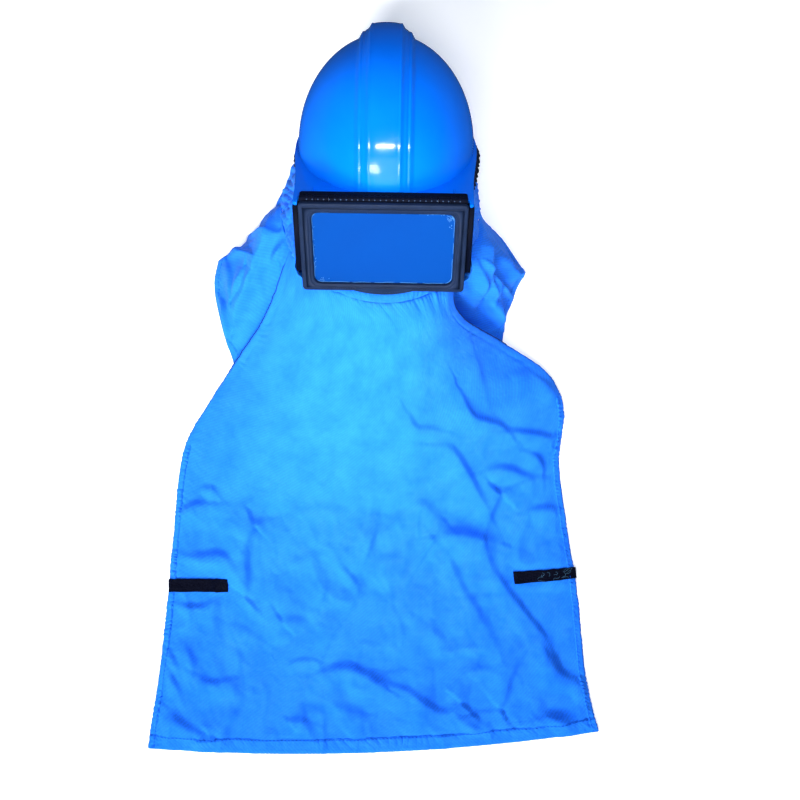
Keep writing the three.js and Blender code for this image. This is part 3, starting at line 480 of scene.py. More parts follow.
# Creases as seen in the frame of 800: rise in mm, steep and gentle width, then the line.
PANEL_CREASES = [
    (3.6, 4.5, 17, [(459, 390), (467, 408), (474, 417), (485, 419), (501, 424), (510, 434)]),
    (2.8, 4.0, 13, [(505, 431), (520, 431), (544, 435), (560, 439)]),
    (2.6, 5.0, 14, [(408, 414), (416, 428), (429, 427), (441, 430)]),
    (3.4, 6.0, 20, [(437, 444), (450, 445), (459, 457), (469, 473), (478, 491), (488, 510)]),
    (3.8, 5.5, 14, [(485, 471), (498, 467), (513, 469), (523, 475), (536, 476)]),
    (4.0, 6.0, 15, [(518, 484), (502, 492), (494, 504), (489, 522)]),
    (3.0, 4.5, 12, [(527, 452), (537, 456), (542, 465), (543, 477)]),
    (3.8, 6.0, 13, [(529, 511), (542, 507), (558, 508)]),
    (3.4, 9.0, 22, [(392, 523), (408, 508), (420, 500), (431, 508), (440, 517)]),
    (4.6, 9.0, 18, [(440, 535), (459, 531), (476, 535), (497, 542)]),
    (2.6, 5.0, 12, [(541, 380), (550, 386), (560, 398)]),
    (1.5, 5.0, 14, [(474, 352), (481, 378), (486, 394)]),
    (1.4, 6.0, 14, [(510, 376), (528, 372)]),
    (2.4, 7.0, 16, [(438, 544), (450, 559), (462, 587), (475, 606), (488, 628), (498, 648)]),
    (2.7, 6.0, 18, [(487, 550), (491, 568), (502, 580), (508, 592), (523, 609), (540, 629), (551, 648)]),
    (3.2, 5.0, 14, [(549, 655), (559, 672), (570, 676)]),
    (3.2, 6.0, 18, [(524, 653), (513, 667), (508, 681), (505, 696), (499, 710), (478, 713)]),
    (2.7, 7.0, 20, [(366, 671), (386, 684), (403, 687), (418, 696), (434, 709), (446, 712),
                    (459, 704), (469, 690), (473, 678)]),
    (2.2, 5.0, 10, [(590, 687), (577, 702)]),
    (2.4, 5.0, 11, [(559, 633), (573, 627)]),
    (3.2, 9.0, 18, [(534, 719), (555, 714), (573, 726), (566, 742)]),
    (1.5, 1.6, 4, [(439, 529), (407, 585)]),
    (0.8, 1.6, 5, [(379, 524), (370, 550)]),
    (1.2, 4.0, 9, [(476, 597), (493, 594)]),
    (3.4, 7.0, 15, [(180, 553), (199, 557), (218, 552), (230, 557), (241, 574)]),
    (4.2, 7.0, 18, [(258, 522), (249, 539), (247, 567), (249, 590), (236, 602)]),
    (3.0, 5.0, 12, [(168, 599), (184, 606), (202, 607), (219, 599)]),
    (2.4, 6.0, 13, [(182, 641), (195, 657), (194, 677)]),
    (2.2, 3.6, 9, [(165, 647), (174, 657), (180, 670)]),
    (2.6, 3.6, 9, [(167, 665), (176, 681), (182, 695)]),
    (3.0, 6.0, 14, [(199, 675), (211, 683), (234, 678)]),
    (2.2, 7.0, 14, [(236, 644), (241, 660), (239, 678)]),
    (1.8, 5.0, 12, [(245, 691), (258, 685)]),
    (3.0, 6.0, 13, [(283, 670), (296, 658), (312, 660)]),
    (3.6, 8.0, 18, [(308, 676), (327, 670), (345, 664), (364, 672), (382, 684)]),
    (1.8, 5.0, 14, [(357, 593), (348, 614), (335, 629), (324, 653), (316, 676)]),
    (1.8, 7.0, 15, [(340, 573), (325, 590), (320, 608)]),
    (1.5, 6.0, 16, [(287, 563), (312, 555), (336, 550)]),
    (1.5, 5.0, 12, [(375, 527), (366, 558), (359, 574)]),
    (2.2, 6.0, 12, [(282, 730), (293, 717), (306, 721)]),
    (2.0, 5.0, 11, [(301, 702), (305, 721), (313, 735)]),
    (3.0, 8.0, 13, [(170, 711), (181, 722), (196, 729)]),
    (2.4, 6.0, 11, [(216, 726), (206, 737), (190, 745)]),
    (2.0, 7.0, 15, [(274, 659), (279, 625), (291, 617), (311, 622)]),
    (2.2, 4.5, 11, [(201, 490), (211, 486), (219, 495)]),
    (4.4, 6.0, 13, [(177, 515), (188, 508), (196, 503), (209, 503)]),
    (2.0, 8.0, 16, [(234, 515), (249, 502), (260, 494)]),
    (3.2, 7.0, 14, [(248, 540), (254, 522), (266, 520)]),
    (2.6, 9.0, 20, [(284, 520), (296, 511), (318, 508), (345, 510), (370, 514)]),
    (1.6, 8.0, 18, [(330, 700), (352, 712), (378, 716)]),
    (1.4, 6.0, 14, [(420, 620), (446, 640), (462, 668)]),
    (1.2, 5.0, 12, [(390, 600), (404, 628), (400, 655)]),
    (1.6, 7.0, 14, [(226, 622), (243, 628), (262, 640)]),
]
LEFT_CREASES = [
    (-5.0, 4, 7, [(279, 268), (276, 288), (269, 308), (259, 328), (243, 351), (231, 369)]),
    (2.2, 3.0, 6, [(222, 296), (230, 306), (233, 322), (231, 340)]),
    (1.6, 3.0, 6, [(268, 262), (262, 276), (262, 290)]),
    (1.8, 2.6, 5, [(232, 252), (246, 250), (258, 254)]),
    (1.6, 2.6, 5, [(284, 246), (279, 258), (276, 270)]),
    (3.4, 4.0, 13, [(281, 208), (277, 224), (271, 248), (262, 270)]),
    (4.2, 6.0, 13, [(262, 268), (255, 288), (246, 308), (238, 326)]),
    (2.2, 4.0, 9, [(250, 268), (247, 282), (240, 296)]),
    (1.6, 3.5, 8, [(228, 262), (236, 280), (238, 300)]),
    (1.2, 1.3, 2.4, [(229, 247.5), (238, 243), (247, 240), (260, 237), (274, 233)]),
]
RIGHT_CREASES = [
    (-8.0, 10, 15, [(464, 300), (474, 314), (485, 327), (496, 341)]),
    (-3.6, 5, 8, [(486, 300), (490, 314), (500, 328)]),
    (2.4, 3.5, 7, [(476, 268), (482, 284), (481, 300)]),
    (3.4, 4.0, 10, [(484, 238), (487, 252), (484, 268), (489, 282)]),
    (1.5, 1.4, 2.6, [(480, 261), (489, 270), (500, 283), (513, 298)]),
    (2.6, 3.5, 8, [(492, 276), (497, 284), (494, 296)]),
    (3.0, 4.0, 9, [(499, 300), (497, 312), (503, 326)]),
    (2.0, 4.0, 9, [(500, 250), (508, 262), (520, 272)]),
    (1.4, 3.0, 7, [(508, 285), (514, 276), (522, 268)]),
]


def seen(points):
    """Where points in millimetres fall in the frame of 800."""
    away = VIEW_SCALE / (1000 * CAMERA_HEIGHT - points[..., 2])
    return np.stack([
        VIEW_SIZE + (points[..., 0] - 1000 * CAMERA_X) * away, VIEW_SIZE - points[..., 1] * away,
    ], axis=-1)


def softened(line, times=2):
    """Line with its corners cut."""
    line = np.array(line, float)
    for _ in range(times):
        cut = [line[:1]]
        for a, b in zip(line, line[1:]):
            cut.append(np.array([a * 0.75 + b * 0.25, a * 0.25 + b * 0.75]))
        cut.append(line[-1:])
        line = np.concatenate(cut)
    return line


def crease_height(view, creases):
    """Height of folds with one steep side, which is turned away from the light."""
    total = np.zeros(view.shape[:-1])
    for rise, steep, gentle, line in creases:
        line, steep = softened(line), steep * CREASE_SHARP
        steps = np.diff(line, axis=0)
        runs = np.hypot(steps[:, 0], steps[:, 1])
        ways = reached(runs)
        near = np.full(view.shape[:-1], 1e9)
        side = np.zeros(view.shape[:-1])
        share = np.zeros(view.shape[:-1])
        for start, step, run, before in zip(line, steps, runs, ways):
            forward = step / run
            normal = np.array([-forward[1], forward[0]])
            normal = normal * (1 if normal @ LIGHT_SIDE > 0 else -1)
            at = view - start
            along = np.clip(at @ forward, 0, run)
            apart = np.linalg.norm(at - along[..., None] * forward, axis=-1)
            closer = apart < near
            near = np.where(closer, apart, near)
            side = np.where(closer, np.where(at @ normal > 0, 1, -1), side)
            share = np.where(closer, (before + along) / ways[-1], share)
        off = near * side - steep * 0.5
        shape = np.where(off > 0, np.exp(-(off / gentle) ** 2), np.exp(-(off / steep) ** 2))
        fade = np.sin(np.pi * (0.08 + 0.84 * share)) ** 0.8
        total += CREASE_GAIN * rise * shape * fade
    return total


def run_from(grid, axis, end=False):
    """Way along rows (axis 1) or columns (axis 0) from the grid's start, or back from its end."""
    steps = np.linalg.norm(np.diff(grid, axis=axis), axis=-1)
    if end:
        steps = np.flip(steps, axis)
    start = np.zeros_like(np.take(steps, [0], axis=axis))
    run = np.cumsum(np.concatenate([start, steps], axis=axis), axis=axis)
    return np.flip(run, axis) if end else run


def hem_height(away, along, width, noise, pucker):
    """Sewn hem: a full double edge, a sunk line of stitches and puckers across it."""
    inside = 1 - smooth(width - 0.6, width + 0.6, away)
    full = 0.35 * inside * np.sqrt(np.clip(np.sin(np.pi * np.clip(away / width, 0, 1)), 0, 1))
    groove = -0.8 * np.exp(-((away - width) / 1.3) ** 2)
    phase = along / 9 + 1.6 * noise(along / 23, away / 40) + away / 26
    ripple = np.cos(2 * np.pi * phase) * (0.4 + 0.6 * noise(along / 31 + 7, away * 0 + 3))
    reach = np.exp(-((away - width) / (width * 0.9)) ** 2)
    return full + groove + pucker * ripple * reach


def tubes(lines, radius, sides=6):
    """Round threads along lines of points, tapered at their ends."""
    parts = []
    angles = np.radians(np.arange(sides) * 360 / sides)
    for line in lines:
        line = np.asarray(line, float)
        forward = np.gradient(line, axis=0)
        forward /= np.maximum(np.linalg.norm(forward, axis=-1, keepdims=True), 1e-9)
        side = np.cross(forward, UP)
        side /= np.maximum(np.linalg.norm(side, axis=-1, keepdims=True), 1e-9)
        up = np.cross(side, forward)
        count = len(line)
        girth = radius * np.r_[0.35, np.ones(count - 2), 0.35]
        ring = side[:, None] * np.cos(angles)[None, :, None]
        ring = ring + up[:, None] * np.sin(angles)[None, :, None]
        points = (line[:, None] + ring * girth[:, None, None]).reshape(-1, 3)
        faces = grid_faces(count, sides, True, True)
        faces.append(list(range(sides))[::-1])
        faces.append(list(range((count - 1) * sides, count * sides)))
        parts.append((points, faces))
    return parts


def line_at(grid, distance, axis, end=False):
    """Line in a grid at an even distance from one of its edges."""
    run = run_from(grid, axis, end)
    if axis == 0:
        grid, run = grid.transpose(1, 0, 2), run.T
    line = []
    for row, way in zip(grid, run):
        order = slice(None, None, -1) if end else slice(None)
        line.append([np.interp(distance, way[order], row[order, k]) for k in range(3)])
    return np.array(line)


def even_line(line, step):
    """Points at even steps along a line."""
    run = reached(np.linalg.norm(np.diff(line, axis=0), axis=-1))
    places = np.arange(step / 2, run[-1], step)
    return np.stack([np.interp(places, run, line[:, k]) for k in range(3)], axis=-1)


STITCH_STEP = 5.2
STITCH_SHARE = 0.68
STITCH_RADIUS = 0.48
HEM_LINES = 15
SIDE_HEM_ROWS = 900
FRONT_HEM_COLUMNS = 1000
RUFFLE_SHARP = 0.75
EDGE_TURN = 1.5


def stitches(line, lift=0.75, bow=0.25):
    """Row of short thread loops that dip into the cloth at both ends."""
    rows = []
    places = even_line(line, STITCH_STEP / 4)
    for start in range(0, len(places) - 4, 4):
        a, b = places[start], places[start + 4]
        share = np.linspace(0, STITCH_SHARE, 5)[:, None]
        thread = a + (b - a) * share
        thread[:, 2] += lift - bow + bow * np.sin(np.pi * share[:, 0] / STITCH_SHARE)
        rows.append(thread)
    return tubes(rows, STITCH_RADIUS, 5)


def spread(lines, count):
    """Lines resampled to an even count."""
    index = np.linspace(0, 1, count) * (len(lines) - 1)
    low = np.clip(np.floor(index).astype(int), 0, len(lines) - 2)
    part = (index - low)[:, None, None]
    return lines[low] * (1 - part) + lines[low + 1] * part


def ruffled(phase):
    """Ripple with narrow valleys, from 0 to 1."""
    return np.abs(np.sin(np.pi * phase)) ** RUFFLE_SHARP


def side_hem(grid, right, seed, start):
    """Turned hem along a side of the panel, drawn in by its stitches."""
    grid = grid[seen(grid[:, -1 if right else 0])[:, 1] > start]
    distances = np.linspace(0, SIDE_HEM, HEM_LINES)
    lines = [line_at(grid, distance, 1, right) for distance in distances]
    fine = spread(np.stack(lines, axis=1), SIDE_HEM_ROWS)
    noise = Noise(seed)
    down, away = run_from(fine, 0), run_from(fine, 1)
    held = smooth(0.12, 0.8, away / SIDE_HEM)
    ripple = ruffled(down / 7.0 + 0.9 * noise(down / 17, 0 * down) + 0.35 * away / SIDE_HEM)
    strength = np.clip(0.62 + 0.5 * noise(down / 26 + 9, 0 * down + 4), 0, 1)
    lift = 0.35 + 1.9 * ripple * held * strength - 1.5 * smooth(0.84, 1, away / SIDE_HEM)
    fine = raised(fine, lift * smooth(0, 9, down))
    out = 1 if right else -1
    fine[..., 0] += out * (0.7 + 0.7 * ripple * strength) * (1 - smooth(0, 3, away))
    fine[..., 2] -= EDGE_TURN * (1 - smooth(0, 1.6, away))
    return fine


def front_hem(grid, seed):
    """Turned hem along the foot of the panel."""
    distances = np.linspace(0, FRONT_HEM, HEM_LINES)
    lines = np.stack([line_at(grid, distance, 0, True) for distance in distances], axis=1)
    fine = np.ascontiguousarray(spread(lines, FRONT_HEM_COLUMNS).transpose(1, 0, 2))
    noise = Noise(seed)
    across, away = run_from(fine, 1), run_from(fine, 0)
    slant = 1.5 * (away / FRONT_HEM - 0.5) * (0.4 + noise(across / 60, 0 * across + 2))
    ripple = ruffled(across / 12.5 + slant + 1.3 * noise(across / 31, 0 * across))
    strength = np.clip(0.45 + 0.75 * noise(across / 42 + 3, 0 * across + 8), 0, 1)
    held = smooth(0.05, 0.7, away / FRONT_HEM) * (1 - 0.35 * smooth(0.9, 1, away / FRONT_HEM))
    lift = 0.4 + 1.4 * ripple * held * strength - 1.4 * smooth(0.9, 1, away / FRONT_HEM)
    fine = raised(fine, lift)
    fine[..., 1] -= 0.8 * (1 - smooth(0, 3, away)) * (1 + 0.4 * ripple)
    fine[..., 2] -= EDGE_TURN * (1 - smooth(0, 1.8, away))
    return fine


def on_panel(grid, corners, rows, columns):
    """Grid of places on the panel between four corners in x and y, carried by its surface."""
    tree = KDTree(grid.shape[0] * grid.shape[1])
    points = grid.reshape(-1, 3)
    for index, point in enumerate(points):
        tree.insert((point[0], point[1], 0), index)
    tree.balance()
    a, b, c, d = (np.array(corner, float) for corner in corners)
    across = np.linspace(0, 1, columns)[None, :, None]
    down = np.linspace(0, 1, rows)[:, None, None]
    flat = (a * (1 - across) + b * across) * (1 - down) + (d * (1 - across) + c * across) * down
    heights = np.zeros((rows, columns))
    for r in range(rows):
        for k in range(columns):
            total = weight = 0
            for _, index, apart in tree.find_n((flat[r, k, 0], flat[r, k, 1], 0), 6):
                share = 1 / (apart + 0.6) ** 2
                total += share * points[index, 2]
                weight += share
            heights[r, k] = total / weight
    return np.concatenate([flat, heights[..., None]], axis=-1)


def from_view(x, y, height=6.0):
    """Place in x and y, in millimetres, seen at a point of the frame of 800."""
    away = (1000 * CAMERA_HEIGHT - height) / VIEW_SCALE
    return (x - VIEW_SIZE) * away + 1000 * CAMERA_X, (VIEW_SIZE - y) * away


def tape_grid(grid, corners, seed):
    """Tape on the panel between four corners in the frame of 800."""
    places = on_panel(grid, [from_view(*corner) for corner in corners], *TAPE_GRID)
    noise = Noise(seed)
    across, down = run_from(places, 1), run_from(places, 0)
    edge = np.minimum.reduce([across, run_from(places, 1, True), down, run_from(places, 0, True)])
    relief = 0.28 * noise(across / 1.1, down / 1.1) + 0.2 * noise(across / 9, down / 6)
    places[..., 2] += TAPE_UP + 0.45 * smooth(0, 2.2, edge) + relief * smooth(0, 2, edge)
    places[..., 1] += 0.35 * noise(across / 7, down / 7)
    return places


def front_panel():
    """Front panel with its creases, ripples, gathers and hems."""
    grid, across = panel_base(*PANEL_GRID)
    noise, second, third = (Noise(seed) for seed in PANEL_SEEDS)
    from_neck, from_hem = run_from(grid, 0), run_from(grid, 0, end=True)
    from_left, from_right = run_from(grid, 1), run_from(grid, 1, end=True)
    turn = np.interp(across, [-1, 1], PANEL_SEAM)[None, :] + 0 * from_neck
    phase = np.radians(turn) * 150 + 3.6 * noise(turn * 0.3, from_neck * 0.03)
    wide = np.radians(turn) * 37 + 2.0 * second(turn * 0.16, from_neck * 0.02)
    length = 7.5 + 5.5 * second(turn * 0.9, 0 * turn + 5)
    pleats = 1.35 * np.cos(phase) * np.exp(-from_neck / length)
    pleats += 1.5 * np.cos(wide) * np.exp(-from_neck / 20)
    pleats *= smooth(0, 3.5, from_neck)
    view = seen(grid)
    x, y = view[..., 0], view[..., 1]
    low = smooth(470, 560, y)
    slow = 3.2 * noise(x / 42, y / 56) + 2.0 * second(x / 19 + y / 80, y / 30)
    bent = x / 30 + 0.5 * noise(x / 50, y / 50)
    ridged = 3.0 * (1 - 2 * np.abs(third(bent, y / 44 + 0.4 * second(x / 40, y / 40))))
    quick = 0.85 * third(x / 8, y / 11) + 0.42 * noise(x / 4.5, y / 6)
    rough = slow * (0.3 + 0.7 * low) + ridged * (0.14 + 0.86 * low) + quick * (0.2 + 0.8 * low)
    rough *= smooth(0, 40, from_neck)
    trough = -5.0 * np.exp(-((y - 517 - 6 * noise(x / 60, 0 * x)) / 13) ** 2)
    trough = trough * smooth(215, 270, x) * (1 - smooth(440, 500, x))
    shape = crease_height(view, PANEL_CREASES) + rough + trough + pleats
    edges = smooth(0, 16, np.minimum(from_left, from_right)) * smooth(0, 26, from_hem)
    shape = shape * (0.35 + 0.65 * edges)
    shape += hem_height(from_hem, lengths_of(grid)[0] / MM, FRONT_HEM, noise, 0.55)
    armhole = smooth(30, 60, from_neck)
    shape += hem_height(from_left, from_neck, ARMHOLE_HEM, second, 1.1) * armhole
    shape += hem_height(from_right, from_neck, ARMHOLE_HEM, third, 1.8) * armhole
    shape -= 2.2 * np.exp(-from_neck / 1.6)
    grid = raised(grid, shape)
    edge = 0.5 * noise(from_neck / 9, 0 * from_neck + 2)
    edge = edge + 0.35 * np.cos(2 * np.pi * from_neck / 7.5)
    grid[:, 0, 0] += edge[:, 0] * armhole[:, 0]
    grid[:, -1, 0] += edge[:, -1] * armhole[:, -1]
    grid[..., 2] = np.maximum(grid[..., 2], PANEL_FLOOR)
    return grid


def cornered(rows, marks, share=0.1):
    """Rows with one more beside the sharpest turn of their outer ends, so that the curve keeps it."""
    steps = np.diff(rows[:, 1, :2], axis=0)
    heading = np.unwrap(np.arctan2(steps[:, 1], steps[:, 0]))
    k = int(np.argmax(np.abs(np.diff(heading)))) + 1
    beside = [rows[k] + (rows[k + step] - rows[k]) * share for step in (-1, 1)]
    return np.insert(rows, [k, k + 1], beside, axis=0), np.insert(marks, [k, k + 1], marks[k])


def shoulder_grid(seam, free, creases):
    """Shoulder piece from the neck seam and under the front panel out to its outline."""
    rows, columns = SHOULDER_GRID
    inner = np.concatenate([neck_point(seam[:, 0]), cape_point(free[:, 0], free[:, 1], free[:, 2])])
    outer = np.concatenate([
        cape_point(seam[:, 1], seam[:, 2], np.zeros(len(seam))),
        cape_point(free[:, 3], free[:, 4], np.zeros(len(free))),
    ])
    sewn_rows = np.r_[np.ones(len(seam)), np.zeros(len(free))]
    pair, sewn_rows = cornered(np.stack([inner, outer], axis=1), sewn_rows)
    shares = even_shares(lambda s: through(pair, s), rows)
    ends = through(pair, shares)
    run = np.linspace(0, 1, columns)[None, :, None]
    grid = ends[:, :1] * (1 - run) + ends[:, 1:] * run
    noise, second = (Noise(seed) for seed in SHOULDER_SEEDS)
    along = run_from(grid, 0)
    from_seam, from_edge = run_from(grid, 1), run_from(grid, 1, end=True)
    view = seen(grid)
    x, y = view[..., 0], view[..., 1]
    shape = SHOULDER_CREASE_GAIN * crease_height(view, creases)
    shape += 1.8 * noise(x / 22, y / 26) + 0.5 * second(x / 8, y / 9)
    on_seam = np.interp(shares, np.linspace(0, 1, len(pair)), sewn_rows)[:, None]
    pleats = np.cos(along / 4.2 + 2.2 * noise(along / 19, from_seam / 40)) * np.exp(-from_seam / 16)
    shape += 1.1 * pleats * on_seam * smooth(0, 3, from_seam)
    shape *= smooth(0, 14, from_edge) * 0.75 + 0.25
    shape += hem_height(from_edge, along, ARMHOLE_HEM, second, 0.6)
    grid = raised(grid, shape * smooth(0, 8, from_seam))
    grid[..., 2] = np.maximum(grid[..., 2], LAID)
    return grid


def collar_grid():
    """Gathered tube from the window base and the rim down past the neck seam."""
    rows, columns = COLLAR_GRID
    degrees = 180 - 360 * np.arange(columns) / columns
    high, low = collar_top(degrees), neck_point(degrees)
    turn = np.radians(degrees)
    out = np.stack([-np.sin(turn), -np.cos(turn), 0 * turn], axis=-1)
    length = np.linalg.norm(high - low, axis=-1)
    reach = COLLAR_PAST_SEAM / length
    lifted = COLLAR_UNDER_RIM * smooth(34, 46, np.abs(degrees))
    lifted = lifted * (1 - smooth(84, 98, np.abs(degrees))) / length
    run = np.linspace(0, 1, rows)[:, None]
    run = run * (1 + reach)[None, :] - (1 - run) * lifted[None, :]
    grid = high[None] + (low - high)[None] * run[..., None]
    noise, second = (Noise(seed) for seed in COLLAR_SEEDS)
    place = degrees[None, :] + 0 * run
    drop = run * length[None, :]
    tuck = np.cos(np.radians(place) * 128 + 3.0 * noise(place * 0.3, drop * 0.04) + drop * 0.06)
    wide = np.cos(np.radians(place) * 24 + 2.0 * second(place * 0.1, drop * 0.02) - drop * 0.03)
    held = np.sin(np.pi * np.clip(run, 0, 1)) ** 0.5
    beside = smooth(48, 66, np.abs(place)) * (1 - smooth(92, 112, np.abs(place)))
    slope = np.radians(np.abs(place)) * 26 - drop * 0.16
    aslant = np.abs(np.sin(slope + noise(place * 0.1, drop * 0.05)))
    wide = wide + COLLAR_SLANT_RISE * beside * (0.6 - aslant)
    gather = (COLLAR_TUCK_RISE * tuck * (1 - 0.55 * beside) + COLLAR_FOLD_RISE * wide) * held
    gather = gather * np.minimum(1, length[None, :] / 22)
    gather -= 1.0 * np.exp(-(length[None, :] - drop) / 2.0)
    hidden = smooth(50, 66, -place) * (1 - smooth(112, 128, -place)) * (1 - smooth(0.45, 0.9, run))
    gather = gather * (1 - 0.8 * hidden) - COLLAR_DRAWN_IN * hidden
    return grid + out[None] * gather[..., None]


def back_grid():
    """Back panel, as wide on each row as what lies on it."""
    rows, columns = BACK_GRID
    ends = []
    for seam, free, edge in (
        (SHOULDER_LEFT_SEAM, SHOULDER_LEFT_FREE, 0), (SHOULDER_RIGHT_SEAM, SHOULDER_RIGHT_FREE, 2),
    ):
        outline = np.concatenate([seam[1:, 1:3], free[:, 3:5], PANEL_SECTIONS[4:, edge, :2]])
        line = cape_point(outline[:, 0], outline[:, 1], 0)
        shares = even_shares(lambda s, line=line: through(line, s), rows)
        ends.append(through(line, shares))
    run = np.linspace(0, 1, columns)[None, :]
    across = run[..., None]
    grid = ends[0][:, None] * (1 - across) + ends[1][:, None] * across
    grid[..., 1] -= 4 * run * (1 - run) * np.linspace(0, 1, rows)[:, None] ** 8 * HEM_BELLY
    inset = BACK_INSET * smooth(0, 60, np.abs(grid[..., 0]))
    grid[..., 0] -= np.sign(grid[..., 0]) * inset
    grid[..., 2] = BACK_UP
    return grid


# Materials.
def new_material(name):
    material = bpy.data.materials.new(name)
    material.use_nodes = True
    tree = material.node_tree
    tree.nodes.clear()
    output = tree.nodes.new("ShaderNodeOutputMaterial")
    shader = tree.nodes.new("ShaderNodeBsdfPrincipled")
    tree.links.new(shader.outputs["BSDF"], output.inputs["Surface"])
    return material, tree, shader


def node(tree, kind, settings=None, **inputs):
    made = tree.nodes.new(kind)
    for key, value in (settings or {}).items():
        setattr(made, key, value)
    for key, value in inputs.items():
        made.inputs[key.replace("_", " ")].default_value = value
    return made


def link(tree, source, target):
    tree.links.new(source, target)


def scaled_place(tree, scale, uv=None):
    if uv is None:
        place = node(tree, "ShaderNodeTexCoord").outputs["Object"]
    else:
        place = node(tree, "ShaderNodeUVMap", {"uv_map": uv}).outputs["UV"]
    mapping = node(tree, "ShaderNodeMapping", None, Scale=scale)
    link(tree, place, mapping.inputs["Vector"])
    return mapping.outputs["Vector"]


def noise_from(tree, vector, scale, detail=3.0, roughness=0.5, distortion=0.0):
    made = node(tree, "ShaderNodeTexNoise", None, Scale=scale, Detail=detail, Roughness=roughness,
                Distortion=distortion)
    link(tree, vector, made.inputs["Vector"])
    return made.outputs["Fac"]


def ribs_from(tree, vector, scale, distortion, detail, detail_scale):
    made = node(tree, "ShaderNodeTexWave", {"bands_direction": "DIAGONAL"}, Scale=scale,
                Distortion=distortion, Detail=detail, Detail_Scale=detail_scale)
    link(tree, vector, made.inputs["Vector"])
    return made.outputs["Fac"]


def ramp(tree, source, low, high):
    """Colour ramp between two stops."""
    made = tree.nodes.new("ShaderNodeValToRGB")
    elements = made.color_ramp.elements
    elements[0].position, elements[0].color = low
    elements[1].position, elements[1].color = high
    link(tree, source, made.inputs["Fac"])
    return made.outputs["Color"]


def multiplied(tree, first, second):
    made = node(tree, "ShaderNodeMix", {"data_type": "RGBA", "blend_type": "MULTIPLY"}, Factor=1.0)
    link(tree, first, made.inputs["A"])
    link(tree, second, made.inputs["B"])
    return made.outputs["Result"]


def bump(tree, height, strength, distance, normal=None):
    made = node(tree, "ShaderNodeBump", None, Strength=strength, Distance=distance)
    link(tree, height, made.inputs["Height"])
    if normal is not None:
        link(tree, normal, made.inputs["Normal"])
    return made.outputs["Normal"]


def stops(low, dark, high, pale):
    """Two stops of a ramp, each from a colour or from one value for a grey."""
    colours = [tone if isinstance(tone, tuple) else (tone, tone, tone) for tone in (dark, pale)]
    return (low, (*colours[0], 1)), (high, (*colours[1], 1))


def cloth_material(name, base, deep):
    material, tree, shader = new_material(name)
    weave = scaled_place(tree, (1, 1, 1), uv="cloth")
    threads = noise_from(tree, weave, 900.0, 2.0)
    mottle = noise_from(tree, weave, 26.0, 6.0, 0.66)
    ribs = ribs_from(tree, weave, 118.0, 2.5, 3.0, 2.0)
    tint = ramp(tree, mottle, *stops(0.32, deep, 0.68, base))
    tint = multiplied(tree, tint, ramp(tree, threads, *stops(0.3, 0.8, 0.7, 1.0)))
    tint = multiplied(tree, tint, ramp(tree, ribs, *stops(0.2, 0.88, 0.75, 1.0)))
    link(tree, tint, shader.inputs["Base Color"])
    link(tree, ramp(tree, threads, *stops(0.2, 0.72, 0.8, 0.9)), shader.inputs["Roughness"])
    crease = noise_from(tree, weave, 60.0, 6.0, 0.62, 0.6)
    twill = ribs_from(tree, weave, 720.0, 1.4, 2.0, 1.5)
    soft = bump(tree, crease, 0.55, 0.0022)
    link(tree, bump(tree, twill, 0.35, 0.00025, soft), shader.inputs["Normal"])
    shader.inputs["Specular IOR Level"].default_value = 0.14
    shader.inputs["Sheen Weight"].default_value = 0.07
    shader.inputs["Sheen Roughness"].default_value = 0.5
    shader.inputs["Sheen Tint"].default_value = (0.15, 0.7, 1.0, 1)
    return material


def noisy_material(name, shine, base, rough, *relief, **constants):
    """Material of noises. Base and rough are each a noise with its two stops, and each relief is a
    noise with strength and distance of its bump. A noise is its stretch and its settings."""
    material, tree, shader = new_material(name)
    made = {}

    def texture(noise):
        if noise not in made:
            stretch, *settings = noise
            made[noise] = noise_from(tree, scaled_place(tree, stretch), *settings)
        return made[noise]

    for socket, entry in (("Base Color", base), ("Roughness", rough)):
        if entry is not None:
            link(tree, ramp(tree, texture(entry[0]), *entry[1]), shader.inputs[socket])
    normal = None
    for noise, strength, distance in relief:
        normal = bump(tree, texture(noise), strength, distance, normal)
    if normal is not None:
        link(tree, normal, shader.inputs["Normal"])
    shader.inputs["Specular IOR Level"].default_value = shine
    for key, value in constants.items():
        shader.inputs[key.replace("_", " ")].default_value = value
    return material


def rubber_material(name, dark, pale, rough_low, rough_high, shine):
    cloudy, grain = (EVEN, 60.0, 5.0, 0.65), (EVEN, 900.0, 3.0, 0.6)
    return noisy_material(name, shine, (cloudy, stops(0.3, dark, 0.8, pale)),
                          (cloudy, stops(0.3, rough_low, 0.75, rough_high)), (grain, 0.25, 0.0003))


def thread_material(name, dark, pale):
    strands = (EVEN, 1500.0, 3.0)
    return noisy_material(name, 0.2, (strands, stops(0.3, dark, 0.7, pale)),
                          (strands, stops(0.3, 0.6, 0.7, 0.8)), (strands, 0.4, 0.0002))


def tape_material():
    material, tree, shader = new_material("tape_weave")
    weave = node(tree, "ShaderNodeTexVoronoi", None, Scale=700.0)
    link(tree, scaled_place(tree, EVEN), weave.inputs["Vector"])
    hooks = weave.outputs["Distance"]
    shade = ramp(tree, hooks, *stops(0.1, (0.002, 0.003, 0.011), 0.7, (0.0004, 0.0006, 0.004)))
    link(tree, shade, shader.inputs["Base Color"])
    link(tree, bump(tree, hooks, 0.6, 0.0005), shader.inputs["Normal"])
    link(tree, ramp(tree, hooks, *stops(0.2, 0.55, 0.8, 0.85)), shader.inputs["Roughness"])
    shader.inputs["Specular IOR Level"].default_value = 0.06
    return material


